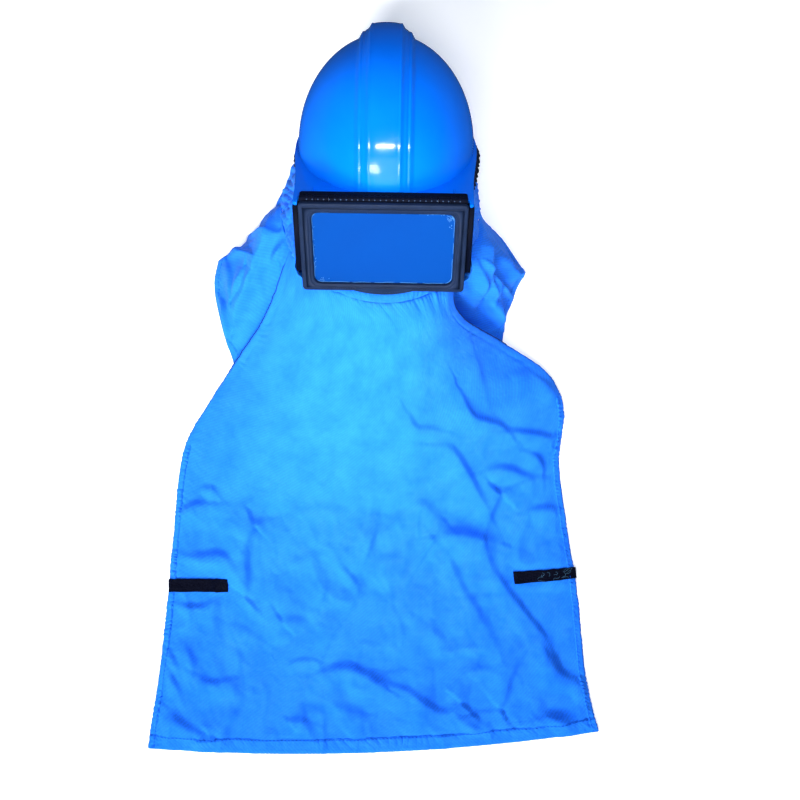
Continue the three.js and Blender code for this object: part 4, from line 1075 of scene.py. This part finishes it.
EVEN = (1, 1, 1)
SHELL_CLOUDY = (EVEN, 9.0, 4.0, 0.6)
SHELL_WORN = ((14, 160, 60), 3.0, 6.0, 0.65)
SHELL_WAVE = (EVEN, 28.0, 2.0)
SHELL_PEEL = (EVEN, 160.0, 2.0)
PANE_CLOUDY = (EVEN, 12.0, 3.0)
PANE_WORN = ((30, 260, 60), 2.0, 5.0, 0.6)
STEEL_DRAWN = ((40, 600, 600), 1.0, 4.0)

CLOTH_BLUE = cloth_material("cloth_twill", (0.019, 0.222, 1.0), (0.009, 0.158, 0.95))
SHELL_BLUE = noisy_material(
    "shell_plastic", 0.3, (SHELL_CLOUDY, stops(0.3, (0.0, 0.118, 0.7), 0.75, (0.001, 0.142, 0.8))),
    (SHELL_WORN, stops(0.35, 0.1, 0.72, 0.2)), (SHELL_WAVE, 0.3, 0.0006), (SHELL_PEEL, 0.12, 0.0002))
PANE = noisy_material(
    "pane_film", 0.06, (PANE_CLOUDY, stops(0.3, (0.0005, 0.036, 0.2), 0.7, (0.0005, 0.04, 0.215))),
    (PANE_WORN, stops(0.35, 0.4, 0.7, 0.55)), (PANE_CLOUDY, 0.15, 0.0004))
STEEL = noisy_material("pin_steel", 0.5, (STEEL_DRAWN, stops(0.3, 0.35, 0.7, 0.55)),
                       (STEEL_DRAWN, stops(0.3, 0.25, 0.7, 0.45)), Metallic=1.0)
TAPE = tape_material()
RUBBER = rubber_material("frame_rubber", (0.005, 0.011, 0.03), (0.009, 0.018, 0.048), 0.4, 0.6, 0.12)
BASE_BLACK = rubber_material("base_rubber", (0.0008, 0.0015, 0.006), (0.0015, 0.003, 0.012), 0.55, 0.8, 0.08)
BINDING = rubber_material("binding_cloth", (0.003, 0.003, 0.01), (0.008, 0.009, 0.03), 0.7, 0.9, 0.2)
# Pale blue of the hinge pips: painted highlight dots on the ribs.
HIGHLIGHT_PIPS = rubber_material("hinge_pips_painted_highlight", (0.03, 0.06, 0.13), (0.06, 0.11, 0.22), 0.4, 0.6, 0.4)
THREAD = thread_material("thread_blue", (0.001, 0.08, 0.52), (0.004, 0.13, 0.75))
LINT = thread_material("lint_pale", (0.03, 0.1, 0.2), (0.1, 0.22, 0.34))
EDGE = thread_material("film_edge", (0.02, 0.11, 0.36), (0.07, 0.24, 0.54))
# Near-black blue of the tubes of painted shadow under the panel's edges.
PAINTED_SHADOW_LINE = thread_material("painted_shadow_dark", (0.0, 0.006, 0.07), (0.0, 0.02, 0.16))


def dress(piece, material, body, slot_name, *nodes):
    """Gives a piece its material and body, and hides the solids that it replaces. The slot name is not used.
    """
    piece.data.materials.clear()
    piece.data.materials.append(material)
    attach(piece, body)
    if nodes:
        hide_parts(*nodes)
    return piece


# Helmet.
def shell_layer(inset, rows, columns):
    """Outer or inner surface of the dome, with the ridge over its crown."""
    width = SHELL_HALF_WIDTH - inset
    length = SHELL_HALF_LENGTH - inset
    height = SHELL_HEIGHT - inset
    share = np.linspace(0, 1, rows)[:, None]
    lift = np.pi * share
    dense = np.linspace(-1, 1, columns)
    side = (np.pi / 2 * (0.62 * dense + 0.38 * dense ** 3))[None, :]
    reach = np.cos(side)
    out = np.stack([0 * lift, -np.cos(lift) / length, np.sin(lift) / height], axis=-1)
    out = out / np.linalg.norm(out, axis=-1, keepdims=True)
    along = RIDGE_RISE * tabled(RIDGE_ALONG, 1, share)
    from_middle = np.abs(np.sin(side)) * SHELL_HALF_WIDTH / (RIDGE_WIDTH / 2)
    profile = (
        1 - 0.4 * smooth(0.53, 0.7, from_middle) - 0.05 * smooth(0.7, 0.86, from_middle)
        - 0.55 * smooth(0.85, 1.04, from_middle)
    )
    lip = 0.8 * np.exp(-((from_middle - 0.54) / 0.035) ** 2)
    lip = lip - 1.1 * np.exp(-((from_middle - 0.8) / 0.05) ** 2)
    lip = lip * smooth(0.0, 0.05, share)
    place = np.stack(np.broadcast_arrays(
        width * np.sin(side) + 0 * lift, -length * np.cos(lift) * reach, height * np.sin(lift) * reach,
    ), axis=-1)
    return place + out * (along * profile + lip)[..., None]


def helmet_shell():
    layers = [shell_layer(inset, *SHELL_GRID).reshape(-1, 3) for inset in (0, SHELL_WALL)]
    piece = make_mesh("helmet_dome", laid(np.concatenate(layers)), two_sided(*SHELL_GRID))
    clean(piece, SHELL_WELD)
    return piece


def plate(name, outlines, depth, bevel, to_place, resolution=3):
    """Plate with rounded edges: outlines in a plane (the first outer, the rest holes), thickened."""
    curve = bpy.data.curves.new(name, "CURVE")
    curve.dimensions = "2D"
    curve.fill_mode = "BOTH"
    for outline in outlines:
        spline = curve.splines.new("POLY")
        spline.points.add(len(outline) - 1)
        flat = np.zeros((len(outline), 4))
        flat[:, :2] = outline
        flat[:, 3] = 1
        spline.points.foreach_set("co", flat.ravel())
        spline.use_cyclic_u = True
    curve.extrude = depth / 2 - bevel
    curve.bevel_depth = bevel
    curve.bevel_resolution = resolution
    curve.offset = -bevel
    holder = placed(name, curve)
    bpy.context.view_layer.update()
    evaluated = holder.evaluated_get(bpy.context.evaluated_depsgraph_get())
    mesh = bpy.data.meshes.new_from_object(evaluated)
    points = np.zeros(len(mesh.vertices) * 3)
    mesh.vertices.foreach_get("co", points)
    faces = [list(polygon.vertices) for polygon in mesh.polygons]
    bpy.data.objects.remove(holder)
    bpy.data.curves.remove(curve)
    bpy.data.meshes.remove(mesh)
    return to_place(points.reshape(-1, 3)), faces


def moved(height):
    """Way to lay points that were drawn flat, moved up by a height first."""
    return lambda points: laid(points + height * UP)


def arc(x, y, radius, start, end, steps=8):
    angles = np.radians(np.linspace(start, end, steps + 1))
    return np.stack([x + radius * np.cos(angles), y + radius * np.sin(angles)], axis=-1)


def round_box(x, y, width, height, radius, steps=8):
    right, top = x + width, y + height
    return np.concatenate([
        arc(right - radius, y + radius, radius, -90, 0, steps),
        arc(right - radius, top - radius, radius, 0, 90, steps),
        arc(x + radius, top - radius, radius, 90, 180, steps),
        arc(x + radius, y + radius, radius, 180, 270, steps),
    ])


def bezier(a, b, c, d, steps=14):
    t = np.linspace(0, 1, steps + 1)[1:, None]
    a, b, c, d = (np.array(p, float) for p in (a, b, c, d))
    return (1 - t) ** 3 * a + 3 * (1 - t) ** 2 * t * b + 3 * (1 - t) * t ** 2 * c + t ** 3 * d


def helmet_rim():
    """Rim of the dome with the peak and its two wings."""
    half, long = SHELL_HALF_WIDTH + FLANGE_REACH, SHELL_HALF_LENGTH + FLANGE_REACH
    wing, foot = BASE_WIDTH / 2 + CHEEK_THICK, 5 - WING_FRONT
    back = np.radians(np.linspace(0, 180, 97))
    round_in = np.radians(np.linspace(0, 360, 145))[:-1]
    corner = [(wing - 1.2, 1.4 - WING_FRONT), (wing - 3.4, -WING_FRONT), (WING_INNER, -WING_FRONT)]
    outline = np.concatenate([
        np.stack([half * np.cos(back), long * np.sin(back)], axis=-1),
        bezier((-half, 0), (-half, -PEAK_FRONT / 3), (-wing, -PEAK_FRONT / 2), (-wing, foot)),
        np.array([(-x, y) for x, y in corner]),
        np.array([(-WING_INNER, -PEAK_FRONT), (WING_INNER, -PEAK_FRONT)]),
        np.array(corner[::-1]),
        bezier((wing, foot), (wing, -PEAK_FRONT / 2), (half, -PEAK_FRONT / 3), (half, 0))[:-1],
    ])
    hole = np.stack([
        (SHELL_HALF_WIDTH - RIM_HOLE_GAP) * np.cos(round_in),
        (SHELL_HALF_LENGTH - RIM_HOLE_GAP) * np.sin(round_in),
    ], axis=-1)
    place = moved((FLANGE_LOW + FLANGE_TOP) / 2)
    parts = [plate("helmet_rim", [outline, hole], FLANGE_TOP - FLANGE_LOW, RIM_BEVEL, place)]
    x, y, z = RIM_NUB_AT
    parts += [rounded_block(RIM_NUB, (side * x, y, z), 0.6) for side in (-1, 1)]
    return joined_mesh("helmet_rim", parts, SHELL_WELD)


def face_plate(outlines, front, depth, bevel, resolution=3):
    """A plate drawn in the helmet's x and z, its front at y = -front."""
    def place(points):
        turned = np.stack([points[:, 0], depth / 2 - front - points[:, 2], points[:, 1]], axis=-1)
        return laid(turned)

    return plate("face_plate", outlines, depth, bevel, place, resolution)


def visor_base():
    """Box ring behind the window, with a cheek on each side."""
    half, low = BASE_WIDTH / 2, BASE_TOP - BASE_HEIGHT
    ring = [
        round_box(-half, low, BASE_WIDTH, BASE_HEIGHT, BASE_CORNER),
        round_box(BASE_WALL - half, low + BASE_WALL, BASE_WIDTH - 2 * BASE_WALL,
                  BASE_HEIGHT - 2 * BASE_WALL, BASE_CORNER),
    ]
    parts = [face_plate(ring, BASE_FRONT, BASE_DEPTH, BASE_BEVEL)]
    outline = np.array([
        (-BASE_FRONT, BASE_TOP), (-BASE_FRONT, BASE_TOP - CHEEK_HEIGHT),
        (CHEEK_LENGTH_LOW - BASE_FRONT, BASE_TOP - CHEEK_HEIGHT),
        (CHEEK_LENGTH_TOP - BASE_FRONT, BASE_TOP - CHEEK_HEIGHT / 4),
        (CHEEK_LENGTH_TOP - BASE_FRONT, BASE_TOP),
    ])
    for side in (-1, 1):
        middle = side * (half + CHEEK_THICK / 2 - CHEEK_LAP)

        def place(points, middle=middle):
            return laid(np.stack([points[:, 2] + middle, points[:, 0], points[:, 1]], axis=-1))

        parts.append(plate("cheek", [outline], CHEEK_THICK + 2 * CHEEK_LAP, CHEEK_BEVEL, place))
    return joined_mesh("visor_base_moulded", parts, MOULD_WELD)


def knuckle(length, middle, sides=28):
    """Ring round the hinge's axis with a rounded edge."""
    end, edge = length / 2, KNUCKLE_RADIUS - KNUCKLE_EDGE
    half = [(end, KNUCKLE_BORE), (end, edge), (end - KNUCKLE_EDGE * 0.3, KNUCKLE_RADIUS - KNUCKLE_EDGE * 0.3),
            (end - KNUCKLE_EDGE, KNUCKLE_RADIUS)]
    profile = [(-x, r) for x, r in half] + half[::-1]
    angles = np.radians(np.arange(sides) * 360 / sides)
    points, faces, count = [], [], len(profile)
    for x, r in profile:
        for angle in angles:
            points.append((x + middle, HINGE_Y + r * math.cos(angle), HINGE_Z + r * math.sin(angle)))
    for k in range(count):
        following = (k + 1) % count
        for s in range(sides):
            t = (s + 1) % sides
            faces.append([k * sides + s, k * sides + t, following * sides + t, following * sides + s])
    return laid(points), faces


def rounded_block(size, middle, bevel=0.8, segments=3):
    """Block with rounded edges in the helmet's frame."""
    work = bmesh.new()
    bmesh.ops.create_cube(work, size=1)
    bmesh.ops.scale(work, vec=size, verts=work.verts)
    bmesh.ops.bevel(work, geom=work.edges[:], offset=bevel, segments=segments, affect="EDGES", profile=0.5)
    bmesh.ops.translate(work, vec=middle, verts=work.verts)
    work.verts.index_update()
    points = [tuple(v.co) for v in work.verts]
    faces = [[v.index for v in face.verts] for face in work.faces]
    work.free()
    return laid(points), faces


def rib_places():
    """Places of the ribs and pips along the hinge."""
    return [(rib - (BAND_RIBS - 1) / 2) * RIB_STEP for rib in range(BAND_RIBS)]


def hinge_band():
    """Band on the peak with its knuckles and ribs."""
    outline = round_box(-BAND_WIDTH / 2, -BAND_FRONT, BAND_WIDTH, BAND_FRONT - BAND_REAR, BAND_CORNER)
    height = BAND_LOW + BAND_THICK / 2
    parts = [plate("band", [outline], BAND_THICK, BAND_BEVEL, moved(height))]
    room = FRAME_KNUCKLE_LENGTH / 2 + 0.3
    ends = [(-BAND_WIDTH / 2, -FRAME_KNUCKLE_AT - room), (-FRAME_KNUCKLE_AT + room, FRAME_KNUCKLE_AT - room),
            (FRAME_KNUCKLE_AT + room, BAND_WIDTH / 2)]
    for start, end in ends:
        middle = (start + end) / 2
        parts.append(knuckle(end - start, middle))
        parts.append(rounded_block((end - start - 4, 6, BAND_THICK - 1.4), (middle, -149.4, height), 0.6))
    for x in rib_places():
        if abs(abs(x) - FRAME_KNUCKLE_AT) >= room + 1.6:
            parts.append(rounded_block(RIB_SIZE, (x, RIB_Y, HINGE_Z + KNUCKLE_RADIUS - 0.1), 0.5, 2))
    return joined_mesh("hinge_band_moulded", parts, MOULD_WELD)


def frame_outline(grow):
    half = FRAME_WIDTH / 2 + grow
    top = FRAME_TOP + grow
    low = FRAME_TOP - FRAME_HEIGHT - grow
    radius = FRAME_CORNER + grow
    tab = np.linspace(-1, 1, 25)
    drop = TAB_DROP * (1 - tab ** 2)
    foot = np.stack([tab * TAB_WIDTH / 2, low - drop], axis=-1)
    return np.concatenate([
        foot,
        arc(half - radius, low + radius, radius, -90, 0),
        arc(half - radius, top - radius, radius, 0, 90),
        arc(radius - half, top - radius, radius, 90, 180),
        arc(radius - half, low + radius, radius, 180, 270),
    ])


def pane_outline(grow, radius):
    width = FRAME_WIDTH - FRAME_SIDE_BAR * 2
    height = FRAME_HEIGHT - FRAME_TOP_BAR - FRAME_LOW_BAR
    low = FRAME_TOP - FRAME_HEIGHT + FRAME_LOW_BAR
    return round_box(-width / 2 - grow, low - grow, width + grow * 2, height + grow * 2, radius)


def window_frame():
    """Outer frame with the thumb tab and a raised bead round the pane."""
    front = FRAME_REAR + FRAME_DEPTH
    body, bead = [frame_outline(0), pane_outline(0, 9)], [frame_outline(-4.2), pane_outline(3.4, 11)]
    parts = [
        face_plate(body, front - FRAME_BEAD_RISE, FRAME_DEPTH - FRAME_BEAD_RISE, FRAME_BEVEL, 4),
        face_plate(bead, front, FRAME_BEAD_DEPTH, FRAME_BEAD_BEVEL, 4),
    ]
    return joined_mesh("window_frame_moulded", parts, MOULD_WELD)


def window_knuckles():
    parts = []
    for side in (-1, 1):
        at = side * FRAME_KNUCKLE_AT
        parts.append(knuckle(FRAME_KNUCKLE_LENGTH, at))
        parts.append(rounded_block((FRAME_KNUCKLE_LENGTH, 6.4, 3.6), (at, -156.6, HINGE_Z - 2.2), 0.5))
    return joined_mesh("window_knuckles", parts)


def beads(on_window):
    """Row of small pips along the hinge, coloured pale as painted highlight dots on its ribs."""
    parts = []
    room = FRAME_KNUCKLE_LENGTH / 2
    for x in rib_places():
        if (abs(abs(x) - FRAME_KNUCKLE_AT) < room) == on_window:
            parts.append(rounded_block(PIP_SIZE, (x, PIP_Y, PIP_Z), 0.45, 2))
    return joined_mesh("window_beads_painted_highlight" if on_window else "hinge_beads_painted_highlight", parts)


def window_pane():
    film = face_plate([pane_outline(PANE_LAP, 11)], FRAME_REAR + PANE_THICK + PANE_UP, PANE_THICK, 0.3, 2)
    return joined_mesh("window_pane_film", [film])


def pane_lines():
    """Pale cut edge of the film inside the frame, and burrs at two of its corners."""
    rng = np.random.default_rng(FILM_SEED)
    outline = pane_outline(-1.0, 8.4)
    ring = np.concatenate([outline, outline[:1]])
    fine = even_line(np.column_stack([ring, np.zeros(len(ring))]), 2.0)[:, :2]
    wander = Noise(FILM_EDGE_SEED)
    way = np.arange(len(fine)) / 4.0
    fine = fine + 0.45 * np.column_stack([wander(way, way * 0), wander(way, way * 0 + 5)])
    lines, start = [], 0
    while start < len(fine) - 3:
        count = int(rng.integers(9, 26))
        lines.append(fine[start:start + count])
        start += count + int(rng.integers(0, 3))
    half = FRAME_WIDTH / 2 - FRAME_SIDE_BAR
    top = FRAME_TOP - FRAME_TOP_BAR
    low = FRAME_TOP - FRAME_HEIGHT + FRAME_LOW_BAR
    for offset in (1.6, 2.6, 3.7, 5.0, 6.6, 8.4):
        start = rng.uniform(-6, 30)
        turn = np.radians(np.linspace(start, start + rng.uniform(25, 60), 14))
        reach = 9.5 - offset * 0.35
        middle = np.array([half - 9.6 - offset * 0.4, top - 9.6 - offset * 0.4])
        burr = middle + reach * np.column_stack([np.cos(turn), np.sin(turn)])
        lines.append(burr + 0.3 * rng.normal(0, 1, burr.shape) * np.linspace(0.2, 1, 14)[:, None])
    scratches = [
        (half - 5, top - 13, 3, 16, 7), (-half + 12, low + 4.5, 13, 4, 8),
        (-half + 2.5, (top + low) / 2, 1.5, 60, 9), (half - 24, top - 2.2, 24, 1.5, 6),
    ]
    for x, z, wide, tall, count in scratches:
        for _ in range(count):
            place = np.array([x, z]) + rng.uniform(-0.5, 0.5, 2) * (wide, tall)
            turn, reach = rng.uniform(0, np.pi), rng.uniform(0.9, 2.6)
            heading = np.array([math.cos(turn), math.sin(turn)])
            lines.append(place + heading * np.linspace(-0.5, 0.5, 5)[:, None] * reach)
    return [line for line in lines if len(line) > 3]


def pane_edge():
    face = FRAME_REAR + PANE_THICK + FILM_EDGE_UP
    rows = [
        laid(np.column_stack([line[:, 0], np.full(len(line), -face), line[:, 1]]))
        for line in pane_lines()
    ]
    return joined_mesh("window_pane_edge", tubes(rows, FILM_EDGE_RADIUS, 5))


def rim_binding():
    """Ruffled strip under the rim; on the right it keeps out to the edge of the peak."""
    rows, columns = BINDING_GRID
    length = SHELL_HALF_LENGTH + FLANGE_REACH - BINDING_INSET
    start = math.asin(BINDING_TURN / length)
    turn = np.linspace(-start, np.pi + start, columns)[None, :]
    noise = Noise(BINDING_SEED)
    drop = np.linspace(0, 1, rows)[:, None]
    flare = np.where(np.cos(turn) > 0, BINDING_FLARE_RIGHT, BINDING_FLARE_LEFT) * drop ** 0.7
    flare = flare * smooth(0.5, 1, np.abs(np.cos(turn)))
    middle = SHELL_HALF_WIDTH + FLANGE_REACH - BINDING_INSET + flare
    ruffle = BINDING_RUFFLE_RISE * np.sin(turn * BINDING_RUFFLES + 1.7 * noise(turn * 9, drop * 2))
    ruffle = ruffle * (0.65 + 0.35 * drop)
    height = BINDING_HEIGHT - BINDING_LOWER_BACK * np.maximum(np.sin(turn), 0)
    across = np.where(turn < 0, 1 + 0.12 * np.sin(turn), np.cos(turn))
    x = (middle + ruffle) * across
    y = (length + ruffle) * np.sin(turn)
    z = -2.4 - height * drop + 0 * turn
    grid = laid(np.stack(np.broadcast_arrays(x, y, z), axis=-1))
    return sheet_mesh("rim_binding_ruffled", grid, BINDING_THICK)


dress(helmet_shell(), SHELL_BLUE, "root", "shell", "helmet_shell")
dress(helmet_rim(), SHELL_BLUE, "root", "shell")
dress(visor_base(), BASE_BLACK, "root", "frame", "visor_base")
dress(hinge_band(), BASE_BLACK, "root", "frame", "hinge_band")
dress(window_frame(), RUBBER, "window", "frame", "window_frame")
dress(window_pane(), PANE, "window", "pane", "window_pane")
dress(pane_edge(), EDGE, "window", "pane")
dress(window_knuckles(), BASE_BLACK, "window", "frame")
dress(beads(True), HIGHLIGHT_PIPS, "window", "frame")
dress(beads(False), HIGHLIGHT_PIPS, "root", "frame")
binding = dress(rim_binding(), BINDING, "root", "trim", "rim_binding")


# Cape.
def cloth_piece(name, grid, thick, *nodes, ring=False):
    return dress(sheet_mesh(name, grid, thick, ring), CLOTH_BLUE, "root", "cloth", *nodes)


def threads(name, parts, material=THREAD):
    return dress(joined_mesh(name, parts), material, "root", "cloth")


def shadow_line_under_edge(right, first, last):
    """Dark tube along the front panel's edge where it lies on a shoulder: a painted shadow of the gap under
    that edge.
    """
    line = line_at(panel_grid, 0.0, 1, right)
    heights = seen(line)[:, 1]
    line = line[(heights > first) & (heights < last)]
    line[:, 0] += SHADOW_LINE_OUT if right else -SHADOW_LINE_OUT
    line[:, 2] -= SHADOW_LINE_DOWN
    return line


# Rows of the frame of 800 where the hems begin and where the dark tubes of painted shadow run, and the tapes'
# corners.
HEM_LEFT_FROM = 440
HEM_RIGHT_FROM = 392
SHADOW_LINE_LEFT = (262, 374)
SHADOW_LINE_RIGHT = (296, 346)
TAPE_LEFT = [(168.5, 579), (228, 579), (228, 592), (168.5, 592)]
TAPE_RIGHT = [(513, 572), (575.5, 567), (576.5, 578), (514.5, 584)]

panel_grid = front_panel()
panel = cloth_piece("front_panel_cloth", panel_grid, CLOTH, "front_panel")
collar = cloth_piece("neck_collar_cloth", collar_grid(), CLOTH, "neck_collar", ring=True)
left_grid = shoulder_grid(SHOULDER_LEFT_SEAM, SHOULDER_LEFT_FREE, LEFT_CREASES)
left = cloth_piece("shoulder_left_cloth", left_grid, CLOTH, "shoulder_left")
right_grid = shoulder_grid(SHOULDER_RIGHT_SEAM, SHOULDER_RIGHT_FREE, RIGHT_CREASES)
right = cloth_piece("shoulder_right_cloth", right_grid, CLOTH, "shoulder_right")
back = cloth_piece("back_panel_cloth", back_grid(), BACK_CLOTH, "back_panel")

hem_left_grid = side_hem(panel_grid, False, HEM_SEEDS[0], HEM_LEFT_FROM)
hem_right_grid = side_hem(panel_grid, True, HEM_SEEDS[1], HEM_RIGHT_FROM)
hem_front_grid = front_hem(panel_grid, HEM_SEEDS[2])
hem_left = cloth_piece("hem_left_cloth", hem_left_grid, HEM_CLOTH)
hem_right = cloth_piece("hem_right_cloth", hem_right_grid, HEM_CLOTH)
hem_front = cloth_piece("hem_front_cloth", hem_front_grid, HEM_CLOTH)

sewn = stitches(hem_left_grid[:, -4]) + stitches(hem_right_grid[:, -4]) + stitches(hem_front_grid[-3])
front_thread = threads("front_hem_stitches", sewn)
# Dark tubes of painted shadow along the panel's edges where they lie on the shoulders.
edges = tubes([shadow_line_under_edge(False, *SHADOW_LINE_LEFT), shadow_line_under_edge(True, *SHADOW_LINE_RIGHT)], SHADOW_LINE_RADIUS)
panel_shadow_line = threads("panel_edge_painted_shadow", edges, PAINTED_SHADOW_LINE)
left_thread = threads("shoulder_left_stitches", stitches(line_at(left_grid, SHOULDER_STITCHES, 1, True)))
right_thread = threads("shoulder_right_stitches", stitches(line_at(right_grid, SHOULDER_STITCHES, 1, True)))

tape_left_grid = tape_grid(panel_grid, TAPE_LEFT, TAPE_SEEDS[0])
tape_left_mesh = sheet_mesh("tape_left_hooks", tape_left_grid, TAPE_THICK)
tape_left = dress(tape_left_mesh, TAPE, "root", "trim", "tape_left")
tape_right_grid = tape_grid(panel_grid, TAPE_RIGHT, TAPE_SEEDS[1])
tape_right_mesh = sheet_mesh("tape_right_hooks", tape_right_grid, TAPE_THICK)
tape_right = dress(tape_right_mesh, TAPE, "root", "trim", "tape_right")


def lint(grid, seed, count, first, last):
    """Pale fluff caught on a tape."""
    rng = np.random.default_rng(seed)
    rows, columns = grid.shape[:2]
    lines = []
    for _ in range(count):
        place = np.array([rng.uniform(0.15, 0.85) * rows, rng.uniform(first, last) * columns])
        heading = rng.normal(0, 0.5)
        line = []
        for _ in range(12):
            r = int(np.clip(place[0], 1, rows - 2))
            c = int(np.clip(place[1], 1, columns - 2))
            share = np.clip(place, 1, (rows - 2, columns - 2)) - (r, c)
            point = grid[r, c] + (grid[r + 1, c] - grid[r, c]) * share[0]
            line.append(point + (grid[r, c + 1] - grid[r, c]) * share[1] + (0, 0, LINT_UP))
            place = place + (0.75 * math.sin(heading), 1.1 * math.cos(heading))
            heading += rng.normal(0, 0.45)
        lines.append(np.array(line))
    return tubes(lines, LINT_RADIUS, 5)


fluff = lint(tape_right_grid, LINT_SEED, LINT_COUNT, 0.35, 0.9)
tape_fluff = dress(joined_mesh("tape_fluff", fluff), LINT, "root", "trim")

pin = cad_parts["hinge_pin"]
pin.data.materials.clear()
pin.data.materials.append(STEEL)


# Floor, light and camera.
FLOOR_HALF = 6.0


def add_floor():
    paper = (EVEN, 3.0, 2.0)
    material = noisy_material("floor_paper", 0.1, (paper, stops(0.3, 0.86, 0.7, 0.9)), None, Roughness=0.9,
                              Emission_Color=(1, 1, 1, 1), Emission_Strength=0.4)
    mesh = bpy.data.meshes.new("floor")
    corners = [(x * FLOOR_HALF, y * FLOOR_HALF, 0) for x, y in ((-1, -1), (1, -1), (1, 1), (-1, 1))]
    mesh.from_pydata(corners, [], [[0, 1, 2, 3]])
    floor = placed("floor", mesh)
    floor.data.materials.append(material)
    floor.visible_glossy = False


def light(name, kind, place, aim, power, **settings):
    lamp = bpy.data.lights.new(name, kind)
    lamp.energy = power
    for key, value in settings.items():
        setattr(lamp, key, value)
    holder = placed(name, lamp)
    holder.location = place
    direction = Vector(aim) - Vector(place)
    holder.rotation_euler = direction.to_track_quat("-Z", "Y").to_euler()
    return holder


def area_light(name, place, aim, size, power):
    return light(name, "AREA", place, aim, power, shape="RECTANGLE", size=size[0], size_y=size[1])


def spot_light(name, place, aim, degrees, power, soft):
    return light(name, "SPOT", place, aim, power, spot_size=math.radians(degrees), spot_blend=0.8,
                 shadow_soft_size=soft)


WORLD_COLOUR = (0.22, 0.55, 1.0, 1)
WORLD_STRENGTH = 0.16
SENSOR_WIDTH = 36

# Each light's name, place and aim in metres, size in metres or angle in degrees, and power in watts.
add_floor()
area_light("key", (0.005, 0.15, 0.72), (0.005, 0.15, 0), (0.26, 0.026), 2.4)
area_light("brow", (0.0, -1.2, 1.8), (0, 0.2, 0.2), (1.4, 1.2), 14)
spot_light("chest", (-0.4, -0.7, 1.15), (-0.045, -0.005, 0.05), 27, 148, 0.3)
for soft_light in (
    area_light("low_key", (-1.9, -3.3, 2.3), (0, 0, 0), (1.35, 1.35), 280),
    area_light("top", (-0.25, -0.45, 2.1), (0, -0.1, 0), (0.8, 0.8), 8),
    spot_light("crown", (0.3, 0.1, 1.5), (0.015, 0.29, 0.15), 17, 46, 0.12),
):
    soft_light.visible_glossy = False

world = bpy.data.worlds.new("studio")
world.use_nodes = True
background = world.node_tree.nodes["Background"]
background.inputs["Color"].default_value = WORLD_COLOUR
background.inputs["Strength"].default_value = WORLD_STRENGTH
bpy.context.scene.world = world
bpy.context.scene.view_settings.view_transform = "Standard"

camera_data = bpy.data.cameras.new("camera")
camera_data.sensor_width = SENSOR_WIDTH
camera_data.lens = CAMERA_LENS
camera = placed("camera", camera_data)
camera.location = (CAMERA_X, 0, CAMERA_HEIGHT)
bpy.context.scene.camera = camera
